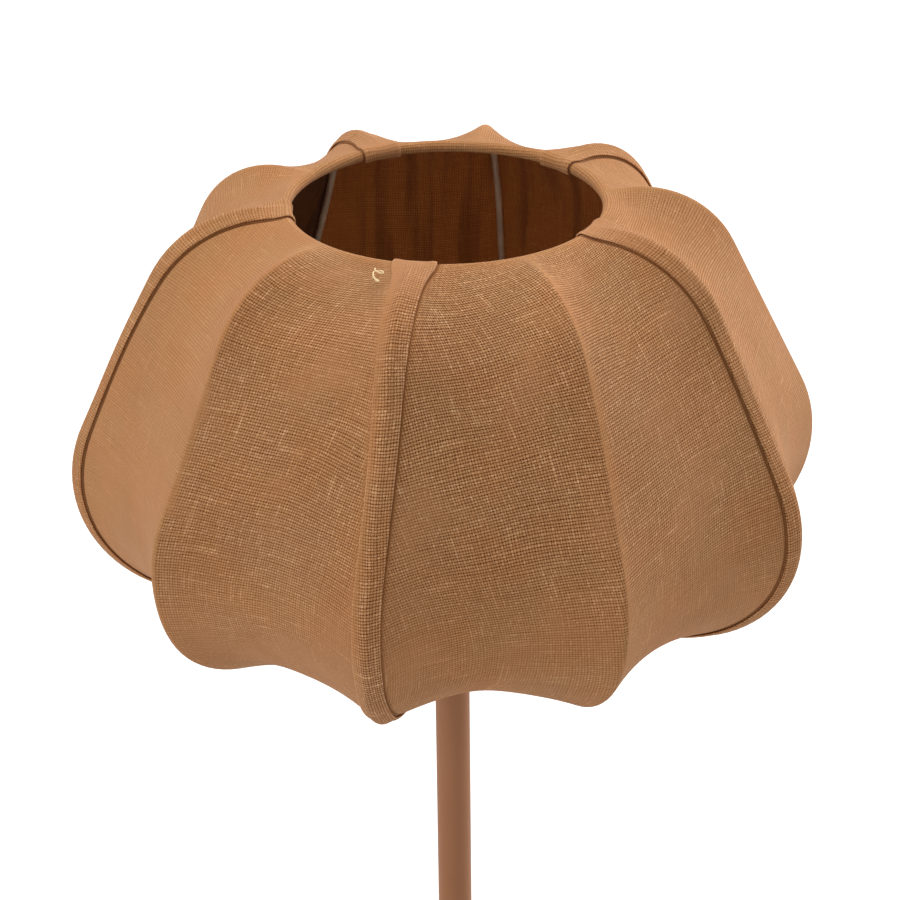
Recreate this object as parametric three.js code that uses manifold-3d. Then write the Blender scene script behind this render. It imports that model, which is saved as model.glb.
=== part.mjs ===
// Table lamp with a ten-ribbed shade of stretched linen, in millimetres.
// +Z is up, the lamp stands on z = 0 and its stem is the Z axis.
// The front faces -Y, and an azimuth is counted about the stem from the front towards +X.

import * as THREE from 'three';
import { mergeVertices } from 'three/addons/utils/BufferGeometryUtils.js';
import Module from 'manifold-3d';

const wasm = await Module();
wasm.setup();

// Clearances
const GAP = 0.3;
const RUNNING_GAP = 0.5;

// Base
const BASE_RADIUS = 85;
const BASE_HEIGHT = 22;
const BASE_DISHING = 2.5;
const BASE_EDGE_FILLET = 7;
const COVER_WALL = 1.2;
const FELT_THICKNESS = 2;
const FELT_INSET = 2;
const STEM_SEAT_RADIUS = 14;
const NUT_RECESS_RADIUS = 20;
const NUT_RECESS_DEPTH = 9;
const CHANNEL_WIDTH = 10;
const CHANNEL_DEPTH = 10;
const GLAND_HEIGHT = 7.3;
const GLAND_BORE_RADIUS = 2.7;
const GLAND_WALL = 0.9;
const GLAND_LIP = 1;
const GLAND_FLANGE = 1.4;
const BASE_WASHER_RADIUS = 18;
const BASE_WASHER_THICKNESS = 2;
const BASE_NUT_WIDTH = 17;
const BASE_NUT_HEIGHT = 6;

// Stem
const STEM_RADIUS = 8.5;
const STEM_WALL = 1;
const STEM_LENGTH = 255;
const PLUG_FLANGE = 3;
const PLUG_DEPTH = 12;
const ROD_RADIUS = 5;
const ROD_BORE_RADIUS = 3.5;
const ROD_TAIL = 1;
const ROD_NUT_WIDTH = 14;
const ROD_NUT_HEIGHT = 3;
const ROD_HEAD = 1.7;

// Lampholder
const HOLDER_RADIUS = 19.5;
const HOLDER_WALL = 2;
const HOLDER_FLOOR = 3;
const HOLDER_FOOT_RADIUS = 10;
const CAP_HEIGHT = 22;
const CAP_DOME_FILLET = 6;
const INSERT_SEAT_HEIGHT = 9;
const INSERT_SEAT_WIDTH = 4.5;
const INSERT_HEIGHT = 15;
const SKIRT_BORE_RADIUS = 15.2;
const SKIRT_HEIGHT = 36;
const SHOULDER_WIDTH = 4.5;
const SHOULDER_THICKNESS = 2.5;
const SHOULDER_HEIGHT = 14;
const SCREW_RADIUS = 19.2;
const SHELL_RADIUS = 13.7;
const SHELL_WALL = 0.6;
const SHELL_HEIGHT = 24;
const TONGUE_THICKNESS = 0.5;
const TONGUE_WIDTH = 6;
const TONGUE_FOOT = 7;
const TONGUE_RISE = 2.6;
const SWITCH_BAR_RADIUS = 2.6;
const SWITCH_BAR_REACH = 6;
const SWITCH_TRAVEL = 6;
const SWITCH_BAR_HEIGHT = 15;

// Screw cap and body of the light source
const TIP_RADIUS = 4.5;
const TIP_HEIGHT = 2;
const INSULATOR_RADIUS = 12;
const INSULATOR_CONE = 3.6;
const INSULATOR_RIM = 2.4;
const SCREW_CAP_RADIUS = 13.1;
const SCREW_CAP_WALL = 0.7;
const SCREW_CAP_HEIGHT = 20;
const SPIGOT_DEPTH = 8;
const HOUSING_NECK_HEIGHT = 6;
const HOUSING_CONE_HEIGHT = 32;
const HOUSING_WALL = 1.5;
const BOARD_THICKNESS = 1.5;
const BOARD_SEAT = 2;
const BOARD_DEPTH = 3;
const BULB_RADIUS = 30;
const DIFFUSER_SKIRT = 11;
const DIFFUSER_WALL = 1;

// Shade carrier
const FITTER_WIDTH = 8;
const FITTER_THICKNESS = 2;
const FITTER_PLAY = 0.8;
const FITTER_RISE = 16;
const ARM_COUNT = 3;
const ARM_LAP = 1;
const ARM_LEVEL = 10;
const ARM_BEND = 8;
const WASHER_THICKNESS = 1.2;
const WASHER_WIDTH = 6;
const RING_NUT_HEIGHT = 9;
const RING_NUT_WALL = 4.5;
const RING_NUT_LUGS = 8;
const RING_NUT_LUG_HEIGHT = 2.5;

// Shade frame: each rib runs straight off the top ring, bends over the shoulder, runs straight down
// the flank, bends round the belly and runs straight in to the bottom ring. Headings are degrees above
// level, seen with the stem on the left.
const WIRE = 3.5;
const TOP_RING_RADIUS = 72.5;
const RIB_COUNT = 10;
const FIRST_SEAM = -10.8;
const NECK_HEADING = 2.5;
const NECK_LENGTH = 10;
const SHOULDER_RADIUS = 50;
const FLANK_HEADING = -63.5;
const FLANK_LENGTH = 80.5;
const BELLY_RADIUS = 60.5;
const FOOT_HEADING = -170.5;
const FOOT_LENGTH = 28.5;
const SHOULDER_STEPS = 6;
const FLANK_STEPS = 3;
const BELLY_STEPS = 8;
const FOOT_STEPS = 1;
const WIRE_SIDES = 6;
const RING_STEPS = 50;

// Cloth
const CLOTH_THICKNESS = 0.9;
const LENGTHWISE_TENSION = 0.076;
const BAND_WIDTH = 14;
const BAND_MARGIN = 0.5;
const SEAM_GAP = 0.4;
const NET_COLUMNS = 12;
const PANEL_STEPS = 6;
const HEM_TURN_TOP = 215;
const HEM_TURN_BOTTOM = -200;
const HEM_STEPS = 3;

const ROUND_STEPS = 32;
const SMALL_ROUND_STEPS = 16;

const radians = THREE.MathUtils.degToRad;
const BAY = 360 / RIB_COUNT;

// Levels that the pieces share, from the table up
const UNDERSIDE = FELT_THICKNESS + GAP;
const NUT_RECESS_TOP = UNDERSIDE + NUT_RECESS_DEPTH;
const TUBE_BOTTOM = BASE_HEIGHT + PLUG_FLANGE + 2 * GAP;
const TUBE_TOP = TUBE_BOTTOM + STEM_LENGTH;
const HOLDER_BOTTOM = TUBE_TOP + PLUG_FLANGE + 2 * GAP;
const CAP_TOP = HOLDER_BOTTOM + CAP_HEIGHT;
const INSERT_BOTTOM = HOLDER_BOTTOM + INSERT_SEAT_HEIGHT + GAP;
const INSERT_TOP = INSERT_BOTTOM + INSERT_HEIGHT;
const SHOULDER_TOP = CAP_TOP + SHOULDER_HEIGHT;
const FITTER_BOTTOM = SHOULDER_TOP + GAP;
const FITTER_MIDDLE = FITTER_BOTTOM + FITTER_THICKNESS / 2;
const WASHER_BOTTOM = FITTER_BOTTOM + FITTER_THICKNESS + GAP;
const RING_NUT_BOTTOM = WASHER_BOTTOM + WASHER_THICKNESS + GAP;
const BOTTOM_RING_HEIGHT = FITTER_MIDDLE - FITTER_RISE;
const TIP_BOTTOM = INSERT_TOP + 2 * GAP + TONGUE_RISE + TONGUE_THICKNESS;
const SCREW_CAP_BOTTOM = TIP_BOTTOM + TIP_HEIGHT + INSULATOR_CONE + GAP;
const SCREW_CAP_TOP = SCREW_CAP_BOTTOM + SCREW_CAP_HEIGHT;
const HOUSING_TOP = SCREW_CAP_TOP + GAP + HOUSING_NECK_HEIGHT + HOUSING_CONE_HEIGHT;

// Finishes
const finish = (color, roughness, metalness) => ({ color, roughness, metalness });
const LINEN = finish(0xa8794f, 0.92, 0);
const LINEN_BAND = finish(0xa6764e, 0.92, 0);
const BROWN_COAT = finish(0x8f6244, 0.6, 0.1);
const GREY_WIRE = finish(0x8c8078, 0.45, 0.7);
const CAST_IRON = finish(0x3c3b3a, 0.75, 0.6);
const ZINC = finish(0xb9b8b2, 0.35, 0.9);
const BRASS = finish(0xc4a052, 0.3, 0.9);
const FELT = finish(0x2b2826, 1, 0);
const BLACK_PLASTIC = finish(0x1c1b1a, 0.5, 0);
const CERAMIC = finish(0xe8e4da, 0.4, 0);
const WHITE_PLASTIC = finish(0xf0eee8, 0.45, 0);
const OPAL = finish(0xfaf7ee, 0.35, 0);

const lamp = new THREE.Group();
const shade = new THREE.Group();
shade.rotation.z = radians(FIRST_SEAM);
lamp.add(shade);

function addPiece(parent, name, geometry, look, turn = 0) {
  const mesh = new THREE.Mesh(geometry, new THREE.MeshStandardMaterial(look));
  mesh.name = name;
  mesh.rotation.z = radians(turn);
  parent.add(mesh);
}

// Corners [radius, height, fillet] become an outline whose filleted corners are short arcs.
function outline(corners, arcSteps = 3) {
  const spots = corners.map(([x, y]) => new THREE.Vector2(x, y));
  const points = [];
  corners.forEach(([, , fillet = 0], i) => {
    const corner = spots[i];
    if (fillet === 0) {
      points.push(corner);
      return;
    }
    const back = spots.at(i - 1).clone().sub(corner).normalize();
    const onward = spots[(i + 1) % spots.length].clone().sub(corner).normalize();
    const half = Math.acos(THREE.MathUtils.clamp(back.dot(onward), -1, 1)) / 2;
    const bisector = back.clone().add(onward).normalize();
    const centre = corner.clone().addScaledVector(bisector, fillet / Math.sin(half));
    const start = corner.clone().addScaledVector(back, fillet / Math.tan(half)).sub(centre);
    const turn = Math.sign(onward.cross(back)) * (Math.PI - 2 * half);
    for (let k = 0; k <= arcSteps; k++) {
      const arm = start.clone().rotateAround(new THREE.Vector2(), turn * k / arcSteps);
      points.push(arm.add(centre));
    }
  });
  return points;
}

// A turned piece about the Z axis, from the closed outline of its section.
function turned(corners, steps = ROUND_STEPS, arcSteps = 3) {
  const points = outline(corners, arcSteps);
  if (THREE.ShapeUtils.isClockWise(points)) points.reverse();
  points.push(points[0].clone());
  return new THREE.LatheGeometry(points, steps).rotateX(Math.PI / 2);
}

// A flat ring or washer.
const washer = (inner, outer, bottom, top, steps = ROUND_STEPS) =>
  turned([[inner, bottom], [outer, bottom], [outer, top], [inner, top]], steps);

// A closed solid that booleans can use: position only, shared corners merged, no empty triangles.
function solidOf(geometry) {
  const sameCorner = 1e-4;
  const bare = geometry.clone();
  bare.deleteAttribute('normal');
  bare.deleteAttribute('uv');
  const merged = mergeVertices(bare, sameCorner);
  const corners = merged.index.array;
  const kept = [];
  for (let i = 0; i < corners.length; i += 3) {
    const [a, b, c] = corners.slice(i, i + 3);
    if (a !== b && b !== c && c !== a) kept.push(a, b, c);
  }
  return new wasm.Manifold(new wasm.Mesh({
    numProp: 3,
    vertProperties: new Float32Array(merged.attributes.position.array),
    triVerts: new Uint32Array(kept),
  }));
}

function cut(geometry, ...tools) {
  const solid = tools.reduce((rest, tool) => rest.subtract(solidOf(tool)), solidOf(geometry));
  const mesh = solid.getMesh();
  const result = new THREE.BufferGeometry();
  result.setAttribute('position', new THREE.BufferAttribute(mesh.vertProperties, 3));
  result.setIndex(new THREE.BufferAttribute(mesh.triVerts, 1));
  result.computeVertexNormals();
  return result;
}

// A path through given stations, so that an extrusion along it puts one section at each of them.
class StationPath extends THREE.Curve {
  constructor(stations) {
    super();
    this.stations = stations;
  }

  getPointAt(u, target = new THREE.Vector3()) {
    const roundOff = 1e-9;
    const place = u * (this.stations.length - 1);
    const k = Math.min(Math.floor(place + roundOff), this.stations.length - 2);
    return target.lerpVectors(this.stations[k], this.stations[k + 1], place - k);
  }

  getTangentAt(u, target = new THREE.Vector3()) {
    const k = Math.round(u * (this.stations.length - 1));
    const step = (i) => this.stations[i + 1]?.clone().sub(this.stations[i]).normalize();
    const before = k > 0 ? step(k - 1) : step(k);
    const after = step(k) ?? before;
    return target.addVectors(before, after).normalize();
  }

  getSpacedPoints(divisions) {
    return Array.from({ length: divisions + 1 }, (_, i) => this.getPointAt(i / divisions));
  }
}

function along(stations, section) {
  const steps = stations.length - 1;
  const extrudePath = new StationPath(stations);
  return facingOut(new THREE.ExtrudeGeometry(section, { steps, extrudePath, bevelEnabled: false }));
}

function roundSection(radius, sides) {
  const corners = Array.from({ length: sides }, (_, i) => {
    const turn = (2 * Math.PI * i) / sides;
    return new THREE.Vector2(radius * Math.cos(turn), radius * Math.sin(turn));
  });
  return new THREE.Shape(corners);
}

// Turns every face round if the solid came out inside out.
function facingOut(geometry) {
  const flat = geometry.index ? geometry.toNonIndexed() : geometry;
  const spot = flat.attributes.position;
  const corner = (i) => new THREE.Vector3().fromBufferAttribute(spot, i);
  let volume = 0;
  for (let i = 0; i < spot.count; i += 3) volume += corner(i).dot(corner(i + 1).cross(corner(i + 2)));
  if (volume < 0) {
    for (let i = 0; i < spot.count; i += 3) {
      const second = corner(i + 1);
      const third = corner(i + 2);
      spot.setXYZ(i + 1, third.x, third.y, third.z);
      spot.setXYZ(i + 2, second.x, second.y, second.z);
    }
  }
  return flat;
}

// A point at a distance from the stem, an azimuth in degrees and a height.
function at(distance, azimuth, height) {
  const turn = radians(azimuth);
  return new THREE.Vector3(distance * Math.sin(turn), -distance * Math.cos(turn), height);
}

// Base

function feltPad() {
  return turned([[0, 0], [BASE_RADIUS - FELT_INSET, 0], [BASE_RADIUS - FELT_INSET, FELT_THICKNESS],
    [0, FELT_THICKNESS]]);
}

function baseCover() {
  const rim = BASE_HEIGHT - BASE_DISHING;
  const bore = ROD_RADIUS + GAP;
  const inside = BASE_RADIUS - COVER_WALL;
  const shell = turned([
    [BASE_RADIUS, UNDERSIDE],
    [BASE_RADIUS, rim, BASE_EDGE_FILLET],
    [STEM_SEAT_RADIUS, BASE_HEIGHT],
    [bore, BASE_HEIGHT],
    [bore, BASE_HEIGHT - COVER_WALL],
    [STEM_SEAT_RADIUS, BASE_HEIGHT - COVER_WALL],
    [inside, rim - COVER_WALL, BASE_EDGE_FILLET - COVER_WALL],
    [inside, UNDERSIDE],
  ]);
  return cut(shell, glandHole());
}

function baseWeight() {
  const top = BASE_HEIGHT - COVER_WALL - GAP;
  const radius = BASE_RADIUS - COVER_WALL - 2 * GAP;
  const bore = ROD_RADIUS + GAP;
  const disc = turned([
    [NUT_RECESS_RADIUS, UNDERSIDE],
    [radius, UNDERSIDE],
    [radius, top - BASE_DISHING, BASE_EDGE_FILLET - COVER_WALL],
    [STEM_SEAT_RADIUS, top],
    [bore, top],
    [bore, NUT_RECESS_TOP],
    [NUT_RECESS_RADIUS, NUT_RECESS_TOP],
  ]);
  const channel = new THREE.BoxGeometry(CHANNEL_WIDTH, BASE_RADIUS, 2 * CHANNEL_DEPTH);
  channel.translate(0, BASE_RADIUS / 2 + ROD_RADIUS + 2 * GAP, UNDERSIDE);
  return cut(disc, channel);
}

// The gland's own shapes lie along +Y, through the rear of the cover's rim.
const toRear = (geometry) => geometry.rotateX(-Math.PI / 2).translate(0, 0, GLAND_HEIGHT);

const GLAND_BARREL_RADIUS = GLAND_BORE_RADIUS + GLAND_WALL;

function glandHole() {
  const hole = GLAND_BARREL_RADIUS + GAP;
  const depth = BASE_RADIUS / 2;
  return toRear(turned([[0, depth], [hole, depth], [hole, 2 * BASE_RADIUS], [0, 2 * BASE_RADIUS]],
    SMALL_ROUND_STEPS));
}

function cordGland() {
  const lip = GLAND_BARREL_RADIUS + GLAND_LIP;
  const outside = BASE_RADIUS + GAP;
  const inside = BASE_RADIUS - COVER_WALL - 2 * GAP;
  return toRear(turned([
    [GLAND_BORE_RADIUS, inside - GLAND_FLANGE],
    [lip, inside - GLAND_FLANGE],
    [lip, inside],
    [GLAND_BARREL_RADIUS, inside],
    [GLAND_BARREL_RADIUS, outside],
    [lip, outside],
    [lip, outside + GLAND_FLANGE, GLAND_LIP],
    [GLAND_BORE_RADIUS, outside + GLAND_FLANGE],
  ], SMALL_ROUND_STEPS, 2));
}

function baseWasher() {
  const top = NUT_RECESS_TOP - GAP;
  return washer(ROD_RADIUS + GAP, BASE_WASHER_RADIUS, top - BASE_WASHER_THICKNESS, top, SMALL_ROUND_STEPS);
}

// A hexagon nut on the rod; its width is across the flats.
function hexNut(width, bottom, height) {
  const shape = roundSection(width / Math.sqrt(3), 6);
  const bore = new THREE.Path().absarc(0, 0, ROD_RADIUS + GAP, 0, 2 * Math.PI, true);
  shape.holes.push(bore);
  const curveSegments = SMALL_ROUND_STEPS / 2;
  return new THREE.ExtrudeGeometry(shape, { depth: height, bevelEnabled: false, curveSegments })
    .translate(0, 0, bottom);
}

function baseNut() {
  const top = NUT_RECESS_TOP - BASE_WASHER_THICKNESS - 2 * GAP;
  return hexNut(BASE_NUT_WIDTH, top - BASE_NUT_HEIGHT, BASE_NUT_HEIGHT);
}

// Stem

const stemTube = () => washer(STEM_RADIUS - STEM_WALL, STEM_RADIUS, TUBE_BOTTOM, TUBE_TOP);

// A turned plug whose flange covers the tube's end and whose spigot sits in its bore.
function stemPlug(flangeFace, upward) {
  const spigot = STEM_RADIUS - STEM_WALL - GAP;
  const bore = ROD_RADIUS + GAP;
  const level = (distance) => flangeFace + upward * distance;
  return turned([
    [bore, level(0)],
    [STEM_RADIUS, level(0)],
    [STEM_RADIUS, level(PLUG_FLANGE)],
    [spigot, level(PLUG_FLANGE)],
    [spigot, level(PLUG_FLANGE + PLUG_DEPTH)],
    [bore, level(PLUG_FLANGE + PLUG_DEPTH)],
  ], SMALL_ROUND_STEPS);
}

const footPlug = () => stemPlug(BASE_HEIGHT + GAP, 1);
const headPlug = () => stemPlug(HOLDER_BOTTOM - GAP, -1);

const ROD_NUT_BOTTOM = HOLDER_BOTTOM + HOLDER_FLOOR + GAP;

const rodNut = () => hexNut(ROD_NUT_WIDTH, ROD_NUT_BOTTOM, ROD_NUT_HEIGHT);

function threadedRod() {
  const top = ROD_NUT_BOTTOM + ROD_NUT_HEIGHT + ROD_HEAD;
  return washer(ROD_BORE_RADIUS, ROD_RADIUS, UNDERSIDE + ROD_TAIL, top, SMALL_ROUND_STEPS);
}

// Lampholder

const CAP_BORE_RADIUS = HOLDER_RADIUS - HOLDER_WALL;
const SWITCH_LEVEL = HOLDER_BOTTOM + SWITCH_BAR_HEIGHT;

// A round bar or bore across the lampholder, along X.
function crossBar(radius, reach) {
  return turned([[0, -reach], [radius, -reach, radius / 2], [radius, reach, radius / 2], [0, reach]],
    SMALL_ROUND_STEPS / 2, 2).rotateY(Math.PI / 2).translate(0, 0, SWITCH_LEVEL);
}

const switchBore = () => crossBar(SWITCH_BAR_RADIUS + RUNNING_GAP, 2 * HOLDER_RADIUS);

// At rest the bar stands out on the -X side, and a push slides it through by its travel.
const switchBar = () => crossBar(SWITCH_BAR_RADIUS, HOLDER_RADIUS + SWITCH_BAR_REACH)
  .translate(-SWITCH_TRAVEL / 2, 0, 0);

function holderCap() {
  const bore = ROD_RADIUS + GAP;
  const seat = CAP_BORE_RADIUS - INSERT_SEAT_WIDTH;
  const cup = turned([
    [bore, HOLDER_BOTTOM],
    [HOLDER_FOOT_RADIUS, HOLDER_BOTTOM],
    [HOLDER_RADIUS, HOLDER_BOTTOM + HOLDER_FLOOR, CAP_DOME_FILLET],
    [HOLDER_RADIUS, CAP_TOP],
    [CAP_BORE_RADIUS, CAP_TOP],
    [CAP_BORE_RADIUS, INSERT_BOTTOM - GAP],
    [seat, INSERT_BOTTOM - GAP],
    [seat, HOLDER_BOTTOM + HOLDER_FLOOR],
    [bore, HOLDER_BOTTOM + HOLDER_FLOOR],
  ]);
  return cut(cup, switchBore());
}

function holderInsert() {
  const radius = CAP_BORE_RADIUS - GAP;
  const block = turned([[0, INSERT_BOTTOM], [radius, INSERT_BOTTOM], [radius, INSERT_TOP], [0, INSERT_TOP]]);
  return cut(block, switchBore());
}

// A sprung tongue: a foot flat on the insert, then a slope up to the light source's tip.
function centreContact() {
  const middle = INSERT_TOP + GAP + TONGUE_THICKNESS / 2;
  const tipSide = TONGUE_FOOT / 4;
  const stations = [
    new THREE.Vector3(TONGUE_FOOT + tipSide, 0, middle),
    new THREE.Vector3(2 * tipSide, 0, middle),
    new THREE.Vector3(-tipSide, 0, middle + TONGUE_RISE),
    new THREE.Vector3(-2 * tipSide, 0, middle + TONGUE_RISE - TONGUE_THICKNESS),
  ];
  const w = TONGUE_WIDTH / 2;
  const t = TONGUE_THICKNESS / 2;
  const corners = [[-t, -w], [t, -w], [t, w], [-t, w]].map(([x, y]) => new THREE.Vector2(x, y));
  return along(stations, new THREE.Shape(corners));
}

function shellContact() {
  const bottom = INSERT_TOP + GAP;
  return washer(SHELL_RADIUS, SHELL_RADIUS + SHELL_WALL, bottom, bottom + SHELL_HEIGHT, SMALL_ROUND_STEPS);
}

function holderSkirt() {
  const bottom = CAP_TOP + GAP;
  const top = CAP_TOP + SKIRT_HEIGHT;
  const ledge = INSERT_TOP + GAP;
  return turned([
    [HOLDER_RADIUS, bottom],
    [HOLDER_RADIUS, SHOULDER_TOP - SHOULDER_THICKNESS],
    [HOLDER_RADIUS + SHOULDER_WIDTH, SHOULDER_TOP - SHOULDER_THICKNESS],
    [HOLDER_RADIUS + SHOULDER_WIDTH, SHOULDER_TOP],
    [SCREW_RADIUS, SHOULDER_TOP],
    [SCREW_RADIUS, top],
    [SKIRT_BORE_RADIUS, top],
    [SKIRT_BORE_RADIUS, ledge],
    [CAP_BORE_RADIUS, ledge],
    [CAP_BORE_RADIUS, bottom],
  ]);
}

// Light source

const bulbTip = () => turned([[0, TIP_BOTTOM], [TIP_RADIUS, TIP_BOTTOM, TIP_HEIGHT / 2],
  [TIP_RADIUS, TIP_BOTTOM + TIP_HEIGHT], [0, TIP_BOTTOM + TIP_HEIGHT]], SMALL_ROUND_STEPS, 2);

function bulbInsulator() {
  const bottom = TIP_BOTTOM + TIP_HEIGHT + GAP;
  const shoulder = bottom + INSULATOR_CONE;
  return turned([[0, bottom], [TIP_RADIUS, bottom], [INSULATOR_RADIUS, shoulder],
    [INSULATOR_RADIUS, shoulder + INSULATOR_RIM], [0, shoulder + INSULATOR_RIM]], SMALL_ROUND_STEPS);
}

const bulbCap = () => washer(INSULATOR_RADIUS + GAP, INSULATOR_RADIUS + GAP + SCREW_CAP_WALL,
  SCREW_CAP_BOTTOM, SCREW_CAP_TOP, SMALL_ROUND_STEPS);

function bulbHousing() {
  const spigot = INSULATOR_RADIUS;
  const neckTop = SCREW_CAP_TOP + GAP + HOUSING_NECK_HEIGHT;
  const boardSeat = BULB_RADIUS - DIFFUSER_WALL - HOUSING_WALL;
  return turned([
    [spigot, SCREW_CAP_TOP - SPIGOT_DEPTH],
    [spigot, SCREW_CAP_TOP + GAP],
    [SCREW_CAP_RADIUS, SCREW_CAP_TOP + GAP],
    [SCREW_CAP_RADIUS, neckTop, 2 * HOUSING_NECK_HEIGHT],
    [BULB_RADIUS - DIFFUSER_WALL, HOUSING_TOP],
    [boardSeat, HOUSING_TOP],
    [boardSeat, HOUSING_TOP - BOARD_DEPTH],
    [boardSeat - BOARD_SEAT, HOUSING_TOP - BOARD_DEPTH],
    [spigot - HOUSING_WALL, neckTop],
    [spigot - HOUSING_WALL, SCREW_CAP_TOP - SPIGOT_DEPTH],
  ], SMALL_ROUND_STEPS);
}

function bulbBoard() {
  const radius = BULB_RADIUS - DIFFUSER_WALL - HOUSING_WALL - GAP;
  const bottom = HOUSING_TOP - BOARD_DEPTH + GAP;
  const top = bottom + BOARD_THICKNESS;
  return turned([[0, bottom], [radius, bottom], [radius, top], [0, top]], SMALL_ROUND_STEPS);
}

// An opal dome: a short skirt that closes over in a half ball.
function bulbDiffuser() {
  const bottom = HOUSING_TOP + GAP;
  const top = bottom + DIFFUSER_SKIRT + BULB_RADIUS;
  const inner = BULB_RADIUS - DIFFUSER_WALL;
  const nearlyAll = 0.999;
  return turned([
    [BULB_RADIUS - DIFFUSER_WALL, bottom],
    [BULB_RADIUS, top, nearlyAll * BULB_RADIUS],
    [0, top],
    [0, top - DIFFUSER_WALL],
    [inner, top - DIFFUSER_WALL, nearlyAll * inner],
    [inner - DIFFUSER_WALL, bottom],
  ], SMALL_ROUND_STEPS, 7);
}

// Shade carrier

const FITTER_BORE_RADIUS = SCREW_RADIUS + FITTER_PLAY;
const FITTER_RADIUS = FITTER_BORE_RADIUS + FITTER_WIDTH;

const fitterRing = () => washer(FITTER_BORE_RADIUS, FITTER_RADIUS, FITTER_BOTTOM,
  FITTER_BOTTOM + FITTER_THICKNESS);
const nutWasher = () => washer(FITTER_BORE_RADIUS, FITTER_BORE_RADIUS + WASHER_WIDTH, WASHER_BOTTOM,
  WASHER_BOTTOM + WASHER_THICKNESS);

// A lug's outline: shares of its pitch round the nut, and of its height.
const LUG_OUTLINE = [[0.1, 0], [0.3, 1], [0.7, 1], [0.9, 0]];

// A ring nut with grip lugs.
function ringNut() {
  const wall = SCREW_RADIUS + RUNNING_GAP + RING_NUT_WALL;
  const corners = [];
  for (let lug = 0; lug < RING_NUT_LUGS; lug++) {
    for (const [share, height] of LUG_OUTLINE) {
      const spot = at(wall + height * RING_NUT_LUG_HEIGHT, (360 * (lug + share)) / RING_NUT_LUGS, 0);
      corners.push(new THREE.Vector2(spot.x, spot.y));
    }
  }
  const shape = new THREE.Shape(corners);
  shape.holes.push(new THREE.Path().absarc(0, 0, SCREW_RADIUS + RUNNING_GAP, 0, 2 * Math.PI, true));
  const curveSegments = SMALL_ROUND_STEPS;
  return new THREE.ExtrudeGeometry(shape, { depth: RING_NUT_HEIGHT, bevelEnabled: false, curveSegments })
    .translate(0, 0, RING_NUT_BOTTOM);
}

// A wire arm laps over the bottom ring, runs in level, then rises to the fitter ring's edge.
function fitterArm(azimuth) {
  const lapped = BOTTOM_RING_HEIGHT + WIRE + GAP;
  const corners = [
    [BOTTOM_RING_RADIUS + ARM_LAP, lapped],
    [BOTTOM_RING_RADIUS - ARM_LEVEL, lapped, ARM_BEND],
    [FITTER_RADIUS + GAP + ARM_BEND, FITTER_MIDDLE, ARM_BEND],
    [FITTER_RADIUS + GAP, FITTER_MIDDLE],
  ];
  const stations = outline(corners, 3).map((spot) => at(spot.x, azimuth, spot.y));
  return along(stations, roundSection(WIRE / 2, WIRE_SIDES));
}

// Shade frame

// The stations of a rib's middle line, from the top ring's wire to the bottom ring's wire, as distances
// from the stem and heights below the top ring.
function ribStations() {
  const stations = [new THREE.Vector2(TOP_RING_RADIUS, 0)];
  const straight = (length, heading, steps) => {
    const start = stations.at(-1);
    const way = new THREE.Vector2(Math.cos(radians(heading)), Math.sin(radians(heading)));
    for (let k = 1; k <= steps; k++) stations.push(start.clone().addScaledVector(way, (length * k) / steps));
  };
  const bend = (radius, from, to, steps) => {
    const arm = (heading) => new THREE.Vector2(-Math.sin(radians(heading)), Math.cos(radians(heading)))
      .multiplyScalar(radius);
    const centre = stations.at(-1).clone().sub(arm(from));
    for (let k = 1; k <= steps; k++) {
      stations.push(arm(THREE.MathUtils.lerp(from, to, k / steps)).add(centre));
    }
  };
  straight(NECK_LENGTH, NECK_HEADING, 1);
  bend(SHOULDER_RADIUS, NECK_HEADING, FLANK_HEADING, SHOULDER_STEPS);
  straight(FLANK_LENGTH, FLANK_HEADING, FLANK_STEPS);
  bend(BELLY_RADIUS, FLANK_HEADING, FOOT_HEADING, BELLY_STEPS);
  straight(FOOT_LENGTH, FOOT_HEADING, FOOT_STEPS);
  return stations;
}

const RIB = ribStations();
const BOTTOM_RING_RADIUS = RIB.at(-1).x;
const TOP_RING_HEIGHT = BOTTOM_RING_HEIGHT - RIB.at(-1).y;

function ring(radius, height) {
  const section = roundSection(WIRE / 2, WIRE_SIDES).getPoints().slice(0, WIRE_SIDES);
  return turned(section.map((spot) => [radius + spot.x, height + spot.y]), RING_STEPS);
}

// A rib butts against both rings, and its sections stand at the stations.
function rib() {
  const stations = RIB.map((spot) => at(spot.x, 0, TOP_RING_HEIGHT + spot.y));
  const shorten = (end, next) => {
    const way = next.clone().sub(end).normalize();
    end.addScaledVector(way, WIRE / 2 + GAP);
  };
  shorten(stations[0], stations[1]);
  shorten(stations.at(-1), stations.at(-2));
  return along(stations, roundSection(WIRE / 2, WIRE_SIDES));
}

// Cloth

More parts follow.
